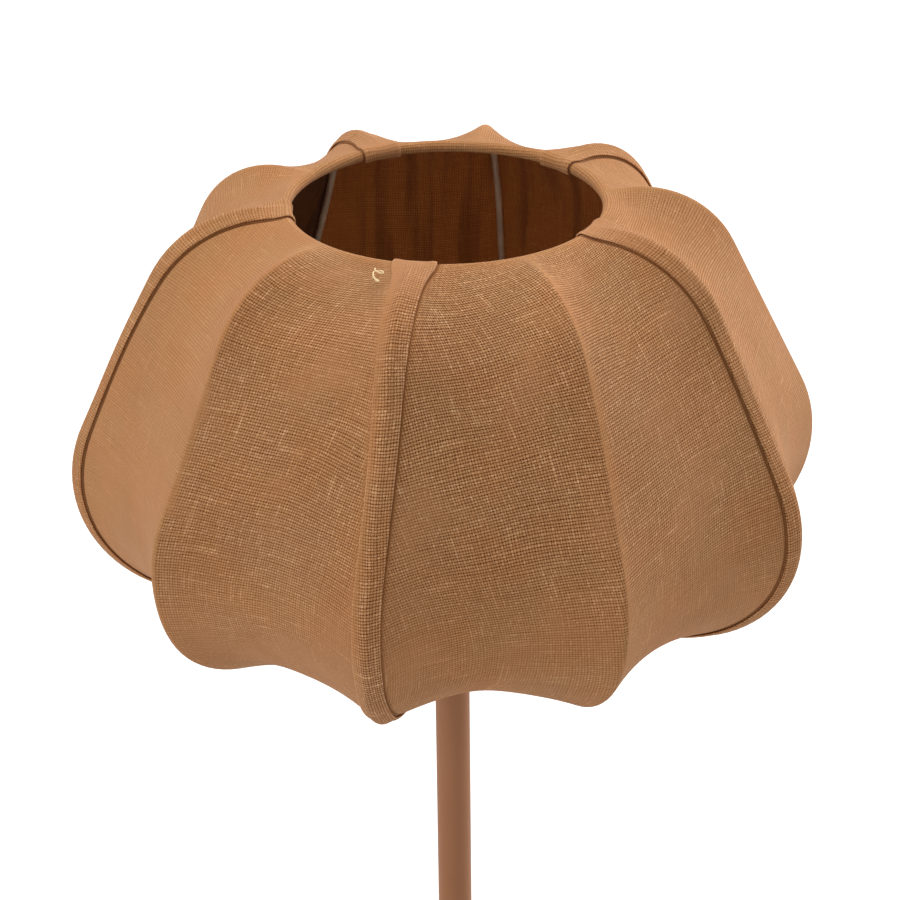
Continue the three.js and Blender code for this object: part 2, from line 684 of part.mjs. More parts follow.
// The cloth of one bay is a stretched net between two ribs and the two rings. Every knot settles where
// the pull across the bay and the weaker pull along the ribs balance, which draws the bay in like a
// saddle. Rows follow the rib's stations; columns go from the rib at azimuth 0 to the rib one bay on.
function stretchedBay() {
  const rows = RIB.length;
  const along = [0];
  for (let i = 1; i < rows; i++) along.push(along[i - 1] + RIB[i].distanceTo(RIB[i - 1]));
  const length = along.at(-1);
  const net = RIB.map((spot) => {
    const first = at(spot.x, 0, spot.y);
    const last = at(spot.x, BAY, spot.y);
    return Array.from({ length: NET_COLUMNS + 1 }, (_, j) => first.clone().lerp(last, j / NET_COLUMNS));
  });
  for (const i of [0, rows - 1]) {
    net[i].forEach((knot, j) => knot.copy(at(RIB[i].x, (BAY * j) / NET_COLUMNS, RIB[i].y)));
  }
  const across = NET_COLUMNS ** 2;
  const sweeps = 400;
  const overshoot = 1.6;
  for (let sweep = 0; sweep < sweeps; sweep++) {
    for (let i = 1; i < rows - 1; i++) {
      const before = (along[i] - along[i - 1]) / length;
      const after = (along[i + 1] - along[i]) / length;
      const up = (2 * LENGTHWISE_TENSION) / (before * (before + after));
      const down = (2 * LENGTHWISE_TENSION) / (after * (before + after));
      for (let j = 1; j < NET_COLUMNS; j++) {
        const pull = new THREE.Vector3()
          .addScaledVector(net[i - 1][j], up)
          .addScaledVector(net[i + 1][j], down)
          .addScaledVector(net[i][j - 1], across)
          .addScaledVector(net[i][j + 1], across)
          .divideScalar(up + down + 2 * across);
        net[i][j].lerp(pull, overshoot);
      }
    }
  }
  return net;
}

const NET = stretchedBay();

// The point of a net row that lies a given distance across from the rib at azimuth 0. A negative
// distance lies in the bay before that rib.
function acrossRow(row, distance) {
  let left = Math.abs(distance);
  let j = 1;
  while (j < NET_COLUMNS && left > row[j].distanceTo(row[j - 1])) {
    left -= row[j].distanceTo(row[j - 1]);
    j += 1;
  }
  const spot = row[j - 1].clone().lerp(row[j], left / row[j].distanceTo(row[j - 1]));
  if (distance < 0) spot.x = -spot.x;
  return spot;
}

const rowWidth = (row) => row.slice(1).reduce((sum, knot, j) => sum + knot.distanceTo(row[j]), 0);

// Reflects a point of the first bay into the second, about the plane of the rib between them.
function mirrored(spot) {
  const side = at(1, BAY + 90, 0);
  return spot.clone().addScaledVector(side, -2 * spot.dot(side));
}

// Columns of a panel over two bays, from its seam rib over the plain rib to the next seam rib. Each
// column is a list of points down the rows. A flat strip beside each seam carries the band.
function panelColumns() {
  const strip = BAND_WIDTH / 2 + BAND_MARGIN;
  const half = Array.from({ length: PANEL_STEPS + 1 }, (_, c) => NET.map((row) => {
    const rest = rowWidth(row) - strip;
    return acrossRow(row, c === 0 ? 0 : strip + (rest * (c - 1)) / (PANEL_STEPS - 1));
  }));
  const other = half.slice(0, -1).reverse().map((column) => column.map(mirrored));
  return [...half, ...other];
}

const bandColumns = () => [-BAND_WIDTH / 2, 0, BAND_WIDTH / 2].map((distance) =>
  NET.map((row) => acrossRow(row, distance)));

// The unit normals of the net's facets between two neighbouring columns.
function facetNormals(columns) {
  return columns.slice(1).map((column, c) => column.slice(1).map((spot, i) => {
    const down = spot.clone().sub(columns[c][i]);
    const acrossWay = column[i].clone().sub(columns[c][i + 1]);
    return acrossWay.cross(down).normalize().negate();
  }));
}

// How far and which way each knot moves per millimetre that its facets are lifted off the net. At the
// two rings the column goes on round the ring's wire, so rows are added there that only turn.
function clothRows(columns, seamed) {
  const facets = facetNormals(columns);
  const last = RIB.length - 1;
  return columns.map((column, c) => {
    const beside = [facets[c - 1], facets[c]].filter(Boolean);
    const edge = beside.length === 1;
    const lifts = column.map((spot, i) => {
      const meeting = beside.flatMap((strip) => [strip[i - 1], strip[i]]).filter(Boolean);
      const lift = meeting.reduce((sum, normal) => sum.add(normal), new THREE.Vector3());
      const azimuth = c === 0 ? 0 : 2 * BAY;
      if (edge && seamed) lift.projectOnPlane(at(1, azimuth + 90, 0));
      lift.normalize();
      return lift.divideScalar(Math.min(...meeting.map((normal) => normal.dot(lift))));
    });
    const turns = (row, endTurn) => {
      const outward = new THREE.Vector3(column[row].x, column[row].y, 0).normalize();
      const startTurn = THREE.MathUtils.radToDeg(Math.atan2(lifts[row].z, lifts[row].dot(outward)));
      return Array.from({ length: HEM_STEPS }, (_, k) => {
        const turn = radians(THREE.MathUtils.lerp(startTurn, endTurn, (k + 1) / HEM_STEPS));
        const step = radians(Math.abs(endTurn - startTurn) / HEM_STEPS);
        const lift = outward.clone().multiplyScalar(Math.cos(turn)).setZ(Math.sin(turn));
        return { spot: column[row], lift: lift.divideScalar(Math.cos(step / 2)) };
      });
    };
    const shift = new THREE.Vector3();
    if (edge && seamed) shift.copy(at(SEAM_GAP / 2, c === 0 ? 90 : 2 * BAY - 90, 0));
    return [
      ...turns(0, HEM_TURN_TOP).reverse(),
      ...column.map((spot, i) => ({ spot, lift: lifts[i] })),
      ...turns(last, HEM_TURN_BOTTOM),
    ].map(({ spot, lift }) => ({ spot: spot.clone().add(shift), lift }));
  });
}

// A closed solid between two lifts of the same cloth, joined round its four edges.
function clothSolid(columns, lower, upper, seamed) {
  const cloth = clothRows(columns, seamed);
  const wide = cloth.length;
  const tall = cloth[0].length;
  const spots = [];
  for (const lifted of [lower, upper]) {
    for (const column of cloth) {
      for (const { spot, lift } of column) spots.push(spot.clone().addScaledVector(lift, lifted));
    }
  }
  const faces = [];
  const index = (side, c, i) => (side * wide + c) * tall + i;
  const quad = (a, b, d, e) => faces.push(a, b, d, a, d, e);
  for (let c = 0; c < wide - 1; c++) {
    for (let i = 0; i < tall - 1; i++) {
      quad(index(1, c, i), index(1, c, i + 1), index(1, c + 1, i + 1), index(1, c + 1, i));
      quad(index(0, c, i), index(0, c + 1, i), index(0, c + 1, i + 1), index(0, c, i + 1));
    }
    quad(index(0, c, 0), index(1, c, 0), index(1, c + 1, 0), index(0, c + 1, 0));
    quad(index(0, c, tall - 1), index(0, c + 1, tall - 1), index(1, c + 1, tall - 1), index(1, c, tall - 1));
  }
  for (let i = 0; i < tall - 1; i++) {
    quad(index(0, 0, i), index(0, 0, i + 1), index(1, 0, i + 1), index(1, 0, i));
    quad(index(0, wide - 1, i), index(1, wide - 1, i), index(1, wide - 1, i + 1), index(0, wide - 1, i + 1));
  }
  const geometry = new THREE.BufferGeometry().setFromPoints(spots);
  geometry.setIndex(faces);
  geometry.translate(0, 0, TOP_RING_HEIGHT);
  geometry.computeVertexNormals();
  return facingOut(geometry);
}

const CLOTH_LIFT = WIRE / 2 + GAP;
const BAND_LIFT = CLOTH_LIFT + CLOTH_THICKNESS + GAP;

const panel = () => clothSolid(panelColumns(), CLOTH_LIFT, CLOTH_LIFT + CLOTH_THICKNESS, true);
const seamBand = () => clothSolid(bandColumns(), BAND_LIFT, BAND_LIFT + CLOTH_THICKNESS, false);

// Assembly

addPiece(lamp, 'felt_pad', feltPad(), FELT);
addPiece(lamp, 'base_weight', baseWeight(), CAST_IRON);
addPiece(lamp, 'base_cover', baseCover(), BROWN_COAT);
addPiece(lamp, 'cord_gland', cordGland(), BLACK_PLASTIC);
addPiece(lamp, 'base_washer', baseWasher(), ZINC);
addPiece(lamp, 'base_nut', baseNut(), ZINC);

addPiece(lamp, 'stem_tube', stemTube(), BROWN_COAT);
addPiece(lamp, 'foot_plug', footPlug(), BROWN_COAT);
addPiece(lamp, 'head_plug', headPlug(), BROWN_COAT);
addPiece(lamp, 'threaded_rod', threadedRod(), ZINC);
addPiece(lamp, 'rod_nut', rodNut(), ZINC);

addPiece(lamp, 'holder_cap', holderCap(), BLACK_PLASTIC);
addPiece(lamp, 'holder_insert', holderInsert(), CERAMIC);
addPiece(lamp, 'centre_contact', centreContact(), BRASS);
addPiece(lamp, 'shell_contact', shellContact(), BRASS);
addPiece(lamp, 'holder_skirt', holderSkirt(), BLACK_PLASTIC);
addPiece(lamp, 'switch_bar', switchBar(), BLACK_PLASTIC);
addPiece(lamp, 'nut_washer', nutWasher(), ZINC);
addPiece(lamp, 'ring_nut', ringNut(), BLACK_PLASTIC);

addPiece(lamp, 'bulb_tip', bulbTip(), BRASS);
addPiece(lamp, 'bulb_insulator', bulbInsulator(), BLACK_PLASTIC);
addPiece(lamp, 'bulb_cap', bulbCap(), ZINC);
addPiece(lamp, 'bulb_housing', bulbHousing(), WHITE_PLASTIC);
addPiece(lamp, 'bulb_board', bulbBoard(), CERAMIC);
addPiece(lamp, 'bulb_diffuser', bulbDiffuser(), OPAL);

addPiece(shade, 'fitter_ring', fitterRing(), GREY_WIRE);
for (let k = 1; k <= ARM_COUNT; k++) {
  const bay = Math.round((RIB_COUNT * (k - 1)) / ARM_COUNT);
  addPiece(shade, `fitter_arm_${k}`, fitterArm(BAY * (bay + 0.5)), GREY_WIRE);
}
addPiece(shade, 'top_ring', ring(TOP_RING_RADIUS, TOP_RING_HEIGHT), GREY_WIRE);
addPiece(shade, 'bottom_ring', ring(BOTTOM_RING_RADIUS, BOTTOM_RING_HEIGHT), GREY_WIRE);
for (let k = 0; k < RIB_COUNT; k++) {
  addPiece(shade, `rib_${String(k + 1).padStart(2, '0')}`, rib(), GREY_WIRE, BAY * k);
}
for (let k = 0; k < RIB_COUNT / 2; k++) {
  addPiece(shade, `panel_${k + 1}`, panel(), LINEN, 2 * BAY * k);
  addPiece(shade, `seam_band_${k + 1}`, seamBand(), LINEN_BAND, 2 * BAY * k);
}

export default lamp;
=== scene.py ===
# %% [markdown]
# # A table lamp with a ribbed linen shade
# The real lamp is a slim painted stem with a shade of ten bent wires. Linen is stretched over the wires
# in five panels, and a narrow band of the same linen hides each seam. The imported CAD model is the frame
# that every piece here is set on, so nothing has to be fitted by eye. The numbers are in millimetres,
# because that is how the lamp was drawn, and become metres when a mesh is made.

# %% Load the frame
import math

import bmesh
import bpy
import numpy as np
from mathutils import Matrix, Vector


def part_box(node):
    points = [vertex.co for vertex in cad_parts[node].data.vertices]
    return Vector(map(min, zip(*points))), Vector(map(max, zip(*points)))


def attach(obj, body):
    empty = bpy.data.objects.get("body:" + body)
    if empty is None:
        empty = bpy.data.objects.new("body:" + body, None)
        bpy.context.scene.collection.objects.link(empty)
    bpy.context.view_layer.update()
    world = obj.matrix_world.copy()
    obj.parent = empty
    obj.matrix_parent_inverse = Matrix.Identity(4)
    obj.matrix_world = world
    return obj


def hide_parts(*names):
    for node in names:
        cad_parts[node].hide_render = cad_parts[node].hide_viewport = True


MM = 0.001
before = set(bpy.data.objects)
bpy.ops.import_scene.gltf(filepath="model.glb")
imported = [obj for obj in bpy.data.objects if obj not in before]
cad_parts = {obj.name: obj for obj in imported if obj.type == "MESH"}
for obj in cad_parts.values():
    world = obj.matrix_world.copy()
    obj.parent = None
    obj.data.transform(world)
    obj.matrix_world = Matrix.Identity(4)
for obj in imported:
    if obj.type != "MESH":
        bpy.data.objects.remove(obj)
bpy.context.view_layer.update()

# %% [markdown]
# ## The camera
# The photograph looks down on the shade from about a metre away. The camera could be aimed by eye, but
# its place, pitch and roll were worked out from the outline of the shade and the sides of the stem.

# %% Camera
CAMERA_AT = (0, -1016.6, 913.3)
PITCH, YAW, ROLL = 28.008, 0.014, -0.717
LENS, SENSOR = 98.19, 36

camera = bpy.data.objects.new("camera", bpy.data.cameras.new("camera"))
camera.data.lens, camera.data.sensor_width = LENS, SENSOR
camera.data.clip_start, camera.data.clip_end = 0.05, 50
bpy.context.scene.collection.objects.link(camera)
bpy.context.scene.camera = camera
turn = Matrix.Rotation(math.radians(-YAW), 4, "Z") @ Matrix.Rotation(math.radians(90 - PITCH), 4, "X")
turn = turn @ Matrix.Rotation(math.radians(ROLL), 4, "Z")
camera.matrix_world = Matrix.Translation(Vector(CAMERA_AT) * MM) @ turn
print("camera looks along", [round(v, 3) for v in turn @ Vector((0, 0, -1))])

# %% [markdown]
# ## A tool for finishes
# Each finish is one Principled shader with a few nodes in front of it. Wiring nodes by hand is slow to
# read, so a small class adds a node and feeds it with numbers or other nodes. What a node gives is kept
# as a Value, and plain signs between values add the nodes that do the sum.


# %% Finish
class Value:
    def __init__(self, nodes, socket):
        self.nodes, self.socket = nodes, socket

    def __add__(self, other):
        return self.nodes.math("ADD", self, other)

    def __mul__(self, other):
        return self.nodes.math("MULTIPLY", self, other)

    def __sub__(self, other):
        return self.nodes.math("SUBTRACT", self, other)

    def __rsub__(self, other):
        return self.nodes.math("SUBTRACT", other, self)

    def __truediv__(self, other):
        return self.nodes.math("DIVIDE", self, other)

    def __pow__(self, other):
        return self.nodes.math("POWER", self, other)

    def __abs__(self):
        return self.nodes.math("ABSOLUTE", self)

    __radd__, __rmul__ = __add__, __mul__


class Nodes:
    """Adds nodes to a tree and feeds them."""

    def __init__(self, tree):
        self.tree = tree

    def feed(self, socket, value):
        if isinstance(value, Value):
            self.tree.links.new(value.socket, socket)
        else:
            socket.default_value = value

    def node(self, kind, output=0, feeds=(), **settings):
        made = self.tree.nodes.new("ShaderNode" + kind)
        for key, value in settings.items():
            setattr(made, key, value)
        for socket, value in dict(feeds).items():
            self.feed(made.inputs[socket], value)
        return Value(self, made.outputs[output])

    def math(self, operation, *values):
        return self.node("Math", 0, enumerate(values), operation=operation)

    def seen(self):
        """1 where a ray comes from the camera, a reflection or clear plastic."""
        camera, glossy, clear = (self.node("LightPath", f"Is {ray} Ray")
                                 for ray in ("Camera", "Glossy", "Transmission"))
        return self.math("MAXIMUM", self.math("MAXIMUM", camera, glossy), clear)


class Finish(Nodes):
    def __init__(self, name, roughness, metallic=0, **fixed):
        self.material = bpy.data.materials.new(name)
        self.material.use_nodes = True
        super().__init__(self.material.node_tree)
        self.set(Roughness=roughness, Metallic=metallic, **fixed)

    def set(self, **values):
        """Feeds the shader. A socket is named with an underscore for each space."""
        for socket, value in values.items():
            self.feed(self.tree.nodes["Principled BSDF"].inputs[socket.replace("_", " ")], value)

    def ramp(self, value, start, end, low=0, high=1):
        feeds = {"Value": value, "From Min": start, "From Max": end, "To Min": low, "To Max": high}
        return self.node("MapRange", 0, feeds, interpolation_type="SMOOTHSTEP")

    def place(self, x, y=0, z=0):
        return self.node("CombineXYZ", 0, {"X": x, "Y": y, "Z": z})

    def noise(self, place, scale, detail=2):
        return self.node("TexNoise", 0, {"Vector": place, "Scale": scale, "Detail": detail})

    def mix(self, share, first, second, blend="MIX"):
        return self.node("Mix", 2, {0: share, 6: first, 7: second}, data_type="RGBA", blend_type=blend)

    def dent(self, height, depth, strength=1):
        self.set(Normal=self.node("Bump", 0, {"Height": height, "Distance": depth, "Strength": strength}))


def paint(red, green, blue):
    """The linear colour of a shade that is written as screen values from 0 to 255."""
    levels = [v / 255 for v in (red, green, blue)]
    return (*[v / 12.92 if v < 0.04045 else ((v + 0.055) / 1.055) ** 2.4 for v in levels], 1)


def tinted(colour, *tint):
    return (*[v * w for v, w in zip(colour, tint)], 1)


def plain_finish(name, colour, roughness, metallic=0, grain=400, depth=0.00006, shift=0.9, **fixed):
    """A finish whose colour varies a little, with a fine grain in its surface."""
    made = Finish(name, roughness, metallic, **fixed)
    place = made.node("TexCoord", "Object")
    cloud = made.ramp(made.noise(place, 45, 3), 0.3, 0.7)
    made.set(Base_Color=made.mix(cloud, colour, tinted(colour, shift, shift, shift)))
    made.dent(made.noise(place, grain, 3), depth, 0.5)
    return made


# %% [markdown]
# ## Floor and light
# The photograph has a pure white background and soft light from both sides and above, while the side
# towards the camera is a little darker. A white room of light would do, but it flattens the folds. Three
# wide lamps keep some shape, and a dim world fills in the rest. The floor shows brighter to the camera
# than it is, most of all far away, so that it joins the white behind it and still keeps the lamp's shadow.

# %% Floor, world and lamps
WORLD_LIGHT = 0.52
FLOOR_GLOW = 0.42
FADE = 0.9, 3.2


def white_world():
    world = bpy.data.worlds.new("white_world")
    world.use_nodes = True
    nodes, glow = Nodes(world.node_tree), world.node_tree.nodes["Background"]
    nodes.feed(glow.inputs["Strength"], nodes.seen() * (1 - WORLD_LIGHT) + WORLD_LIGHT)
    nodes.feed(glow.inputs["Color"], (1, 1, 1, 1))
    bpy.context.scene.world = world


def white_floor(half=6):
    mesh = bpy.data.meshes.new("floor")
    corners = [(-half, -half, 0), (half, -half, 0), (half, half, 0), (-half, half, 0)]
    mesh.from_pydata(corners, [], [(0, 1, 2, 3)])
    floor = bpy.data.objects.new("floor", mesh)
    floor.location.z = -0.0002
    bpy.context.scene.collection.objects.link(floor)
    pale = Finish("pale_floor", 0.9, Base_Color=(0.76, 0.76, 0.76, 1), Emission_Color=(1, 1, 1, 1))
    distance = pale.node("VectorMath", "Value", {0: pale.node("TexCoord", "Object")}, operation="LENGTH")
    pale.set(Emission_Strength=pale.seen() * pale.ramp(distance, *FADE, FLOOR_GLOW, 1))
    mesh.materials.append(pale.material)


def lamp(name, at, target, width, power):
    light = bpy.data.lights.new(name, "AREA")
    light.shape, light.size, light.energy = "DISK", width, power
    light_object = bpy.data.objects.new(name, light)
    bpy.context.scene.collection.objects.link(light_object)
    light_object.location = at
    light_object.rotation_euler = (Vector(target) - Vector(at)).to_track_quat("-Z", "Y").to_euler()


white_world()
white_floor()
lamp("left_lamp", (-1.9, -0.5, 1.2), (0, 0, 0.4), 1.3, 15.4)
lamp("right_lamp", (1.7, 1.1, 1.1), (0, 0, 0.4), 1.3, 29)
lamp("top_lamp", (0.1, 0.4, 2.2), (0, 0, 0.4), 1.5, 19)
bpy.context.scene.view_settings.view_transform = "Standard"

# %% [markdown]
# %% [markdown]
# ## Making a mesh
# Nearly every part is either turned on a lathe, bent from wire or stretched cloth. All three come down
# to grids of points, so one helper closes a grid, and another makes an object from points and faces. A
# rigid part whose faces were listed inside out has a negative volume, and is turned over. Cloth keeps
# its faces as they are, because the look of its weave was set with them.


# %% Meshes from grids
def add_mesh(name, points, faces, sharp=40, turn_over=True):
    mesh = bpy.data.meshes.new(name)
    mesh.from_pydata((np.asarray(points) * MM).tolist(), [], faces)
    mesh.validate()
    solid = bmesh.new()
    solid.from_mesh(mesh)
    if turn_over and solid.calc_volume(signed=True) < 0:
        mesh.flip_normals()
    solid.free()
    mesh.polygons.foreach_set("use_smooth", [True] * len(mesh.polygons))
    mesh.set_sharp_from_angle(angle=math.radians(sharp))
    piece = bpy.data.objects.new(name, mesh)
    bpy.context.scene.collection.objects.link(piece)
    return piece


def grid_faces(rows, columns, start=0, close_rows=False, close_columns=False, flip=False):
    """The four-sided faces of a grid whose points are numbered row by row."""
    faces = []
    for i in range(rows if close_rows else rows - 1):
        for j in range(columns if close_columns else columns - 1):
            here, down, right = i * columns, (i + 1) % rows * columns, (j + 1) % columns
            face = [start + k for k in (here + j, here + right, down + right, down + j)]
            faces.append(face[::-1] if flip else face)
    return faces


def bar_faces(rings, count):
    """The faces of a row of rings of points, with a flat face on either end."""
    last = (rings - 1) * count
    ends = [list(range(count))[::-1], list(range(last, last + count))]
    return grid_faces(rings, count, close_columns=True) + ends


def circle(count):
    return np.linspace(0, 2 * math.pi, count, endpoint=False)


def lying(section, level, steps, axis="x"):
    """Rings of points round a level line along X or Y. The section lists each ring's radius and reach."""
    angles = circle(steps)
    rings = []
    for radius, reach in section:
        along, aside, height = reach + 0 * angles, radius * np.cos(angles), level + radius * np.sin(angles)
        rings.append(np.stack([along, aside, height] if axis == "x" else [aside, along, height], -1))
    return rings


def dress(piece, finish, body, slot, *nodes):
    """Gives a piece its finish and its body, and lets it stand for CAD nodes. The slot is not used."""
    piece.data.materials.clear()
    piece.data.materials.append(finish.material)
    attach(piece, body)
    if nodes:
        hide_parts(*nodes)
    return piece


# %% [markdown]
# A lathe part is the outline of its section swept round the stem. Each corner of the outline may have a
# small radius, because no real edge is perfectly sharp. A ripple lets a thread or grip ribs change the
# radius on the way round.


# %% Turned parts
def outline(corners, arc_steps):
    """Corners (radius, height, fillet) as points, with a short arc at each filleted corner."""
    spots = [np.array(corner[:2], float) for corner in corners]
    points = []
    for k, corner in enumerate(corners):
        fillet = corner[2] if len(corner) > 2 else 0
        if not fillet:
            points.append(spots[k])
            continue
        back, onward = (spots[n] - spots[k] for n in (k - 1, (k + 1) % len(spots)))
        back, onward = back / np.linalg.norm(back), onward / np.linalg.norm(onward)
        half = math.acos(np.clip(back @ onward, -1, 1)) / 2
        middle = (back + onward) / np.linalg.norm(back + onward)
        centre = spots[k] + middle * fillet / math.sin(half)
        start = spots[k] + back * fillet / math.tan(half) - centre
        side = np.sign(onward[0] * back[1] - onward[1] * back[0])
        for step in range(arc_steps + 1):
            angle = side * (math.pi - 2 * half) * step / arc_steps
            c, s = math.cos(angle), math.sin(angle)
            points.append(centre + (c * start[0] - s * start[1], s * start[0] + c * start[1]))
    return np.array(points)


def turned(name, corners, steps=96, arc_steps=5, ripple=None, rows=None):
    """A closed part turned about the stem. rows gives a finer section than corners."""
    section = outline(corners, arc_steps) if rows is None else np.array(rows, float)
    angles = circle(steps)
    radius, height = section[:, :1], section[:, 1:]
    if ripple:
        radius = ripple(angles[None, :], radius, height)
    points = np.stack([radius * np.cos(angles), radius * np.sin(angles), height + 0 * angles], -1)
    faces = grid_faces(len(section), steps, close_rows=True, close_columns=True)
    return add_mesh(name, points.reshape(-1, 3), faces)


def sleeve(name, bore, size, rounding, **more):
    """A ring or tube. size is what span() gives, and rounding is one fillet or one for each corner."""
    outer, low, high = size
    spots = (bore, low), (outer, low), (outer, high), (bore, high)
    return turned(name, [(*spot, fillet) for spot, fillet in zip(spots, np.broadcast_to(rounding, 4))], **more)


def drilled(piece, rings):
    """Cuts the round passage that lies between two rings of points."""
    drill = add_mesh("drill", np.concatenate(rings), bar_faces(2, len(rings[0])))
    hole = piece.modifiers.new("passage", "BOOLEAN")
    hole.operation, hole.object, hole.solver = "DIFFERENCE", drill, "EXACT"
    bpy.context.view_layer.update()
    cut = bpy.data.meshes.new_from_object(piece.evaluated_get(bpy.context.evaluated_depsgraph_get()))
    piece.modifiers.clear()
    piece.data = cut
    bpy.data.objects.remove(drill)
    cut.set_sharp_from_angle(angle=math.radians(35))
    return piece


def span(node):
    """Outer radius, lowest and highest level of a CAD node, in millimetres."""
    low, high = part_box(node)
    return high.x / MM, low.z / MM, high.z / MM


print("the stem tube is", [round(v, 2) for v in span("stem_tube")])

# %% [markdown]
# ## The line of a rib
# One wire was bent ten times over the same form: straight off the top ring, round the shoulder, straight
# down the flank, round the belly and straight in to the bottom ring. The same numbers as in the CAD model
# draw it here, only in finer steps.

# %% Rib line
WIRE = 3.5
TOP_RING_RADIUS = 72.5
RIB_COUNT = 10
BAY = math.radians(360 / RIB_COUNT)
FIRST_SEAM = math.radians(-10.8)
RIB_BENDS = [(10, 2.5, None), (50, 2.5, -63.5), (80.5, -63.5, None), (60.5, -63.5, -170.5),
             (28.5, -170.5, None)]
ROW_STEP = 4.6


def rib_line(step):
    """Points (distance from the stem, height below the top ring) down the wire's middle."""
    spots = [np.array([TOP_RING_RADIUS, 0.0])]
    for size, start, end in RIB_BENDS:
        if end is None:
            count = round(size / step)
            way = np.array([math.cos(math.radians(start)), math.sin(math.radians(start))])
            spots += [spots[-1] + way * size / count * k for k in range(1, count + 1)]
        else:
            count = round(size * math.radians(abs(end - start)) / step)
            arms = [np.array([-math.sin(a), math.cos(a)]) * size
                    for a in np.radians(np.linspace(start, end, count + 1))]
            centre = spots[-1] - arms[0]
            spots += [centre + arm for arm in arms[1:]]
    return np.array(spots)


RIB = rib_line(ROW_STEP)
RIB_RUN = np.r_[0, np.cumsum(np.linalg.norm(np.diff(RIB, axis=0), axis=1))]
low_ring, high_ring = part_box("bottom_ring"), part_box("top_ring")
BOTTOM_RING_HEIGHT = (low_ring[0].z + low_ring[1].z) / 2 / MM
TOP_RING_HEIGHT = (high_ring[0].z + high_ring[1].z) / 2 / MM
print(f"rib: {RIB_RUN[-1]:.1f} mm in {len(RIB)} points, foot at {RIB[-1].round(2)},",
      f"rings {TOP_RING_HEIGHT - BOTTOM_RING_HEIGHT:.2f} mm apart")

# %% [markdown]
# ## Stretching the cloth
# Between two ribs the linen is pulled tight, and it draws in like a saddle. A cloth simulation could find
# that form, but it stays lively and slow. Here every knot of a net settles where the pull across the bay
# and the weaker pull along the ribs balance. That is a set of plain equations, solved once for one bay.

# %% The net of one bay
NET_COLUMNS = 20
LENGTHWISE_TENSION = 0.076


def at(distance, azimuth, height):
    """A point from its distance to the stem, its angle from the front and its height."""
    spots = np.broadcast_arrays(distance * np.sin(azimuth), -distance * np.cos(azimuth), height)
    return np.stack(spots, -1)


def stretched_bay():
    rows, columns = len(RIB), NET_COLUMNS + 1
    azimuths = np.linspace(0, BAY, columns)
    net = np.zeros((rows, columns, 3))
    net[:, 0], net[:, -1] = at(RIB[:, 0], 0, RIB[:, 1]), at(RIB[:, 0], BAY, RIB[:, 1])
    for i in (0, rows - 1):
        net[i] = at(RIB[i, 0], azimuths, RIB[i, 1])
    inner = [(i, j) for i in range(1, rows - 1) for j in range(1, columns - 1)]
    number = {spot: k for k, spot in enumerate(inner)}
    pulls, fixed = np.zeros((len(inner), len(inner))), np.zeros((len(inner), 3))
    for (i, j), k in number.items():
        before, after = np.diff(RIB_RUN[i - 1:i + 2]) / RIB_RUN[-1]
        shares = {(i - 1, j): 2 * LENGTHWISE_TENSION / (before * (before + after)),
                  (i + 1, j): 2 * LENGTHWISE_TENSION / (after * (before + after)),
                  (i, j - 1): NET_COLUMNS ** 2, (i, j + 1): NET_COLUMNS ** 2}
        pulls[k, k] = sum(shares.values())
        for spot, share in shares.items():
            if spot in number:
                pulls[k, number[spot]] -= share
            else:
                fixed[k] += share * net[spot]
    solution = np.linalg.solve(pulls, fixed)
    for (i, j), k in number.items():
        net[i, j] = solution[k]
    return net


NET = stretched_bay()
middle = NET[len(RIB) // 2, NET_COLUMNS // 2]
print("the bay's middle is drawn in to", round(float(np.hypot(*middle[:2])), 1), "mm from the stem")

# %% [markdown]
# The net is a sheet without thickness through the middle of the wires. The real cloth lies on the wires,
# so every point is lifted off along the net's normal. Where the net has a fold, at a rib, the cloth rolls
# round the wire, and at the two rings it rolls right round and inside.

# %% Rows of the net, measured across
def beside(*grids):
    return np.concatenate(grids, axis=1)


def unit(vectors):
    return vectors / np.linalg.norm(vectors, axis=-1, keepdims=True)


NET_RUN = beside(np.zeros((len(RIB), 1)), np.cumsum(np.linalg.norm(np.diff(NET, axis=1), axis=2), axis=1))


def net_normals():
    """Outward normals of the net in one bay, right up to both ribs."""
    across, down = np.gradient(NET, axis=1), np.gradient(NET, RIB_RUN, axis=0)
    return unit(np.cross(down, across))


NORMALS = net_normals()
if np.sum(NORMALS[len(RIB) // 2, NET_COLUMNS // 2, :2] * middle[:2]) < 0:
    NORMALS = -NORMALS


def across_bay(shares):
    """Points and normals of the bay at the given shares (rows by columns) of each row's width."""
    points, normals = np.zeros((*shares.shape, 3)), np.zeros((*shares.shape, 3))
    for i, row in enumerate(shares):
        want = row * NET_RUN[i, -1]
        for axis in range(3):
            points[i, :, axis] = np.interp(want, NET_RUN[i], NET[i, :, axis])
            normals[i, :, axis] = np.interp(want, NET_RUN[i], NORMALS[i, :, axis])
    return points, unit(normals)


def across_wire(turns):
    """Points on a rib's middle line and normals that roll over the wire, from -1 to 1 of the way."""
    sideways = np.array([1.0, 0, 0])
    edge = NORMALS[:, 0]
    upright = unit(edge - np.outer(edge @ sideways, sideways))
    half = np.arcsin(np.clip(edge @ sideways, -1, 1))
    angles = half[:, None] * np.asarray(turns)[None, :]
    normals = np.cos(angles)[..., None] * upright[:, None] + np.sin(angles)[..., None] * sideways
    return np.repeat(NET[:, :1], len(turns), axis=1), normals, half


def both_sides(points, normals, across, *same):
    """Adds the mirror image of half a grid, on the other side of the rib at azimuth 0."""
    left, turn_over = slice(None, 0, -1), np.array([-1, 1, 1])
    mirrored = [points[:, left] * turn_over, normals[:, left] * turn_over, -across[:, left]]
    mirrored += [grid[:, left] for grid in same]
    return [beside(*pair) for pair in zip(mirrored, (points, normals, across, *same))]


widest_fold = 2 * np.degrees(across_wire([0])[2]).max()
print("the cloth folds over a rib by up to", round(float(widest_fold), 1), "degrees")

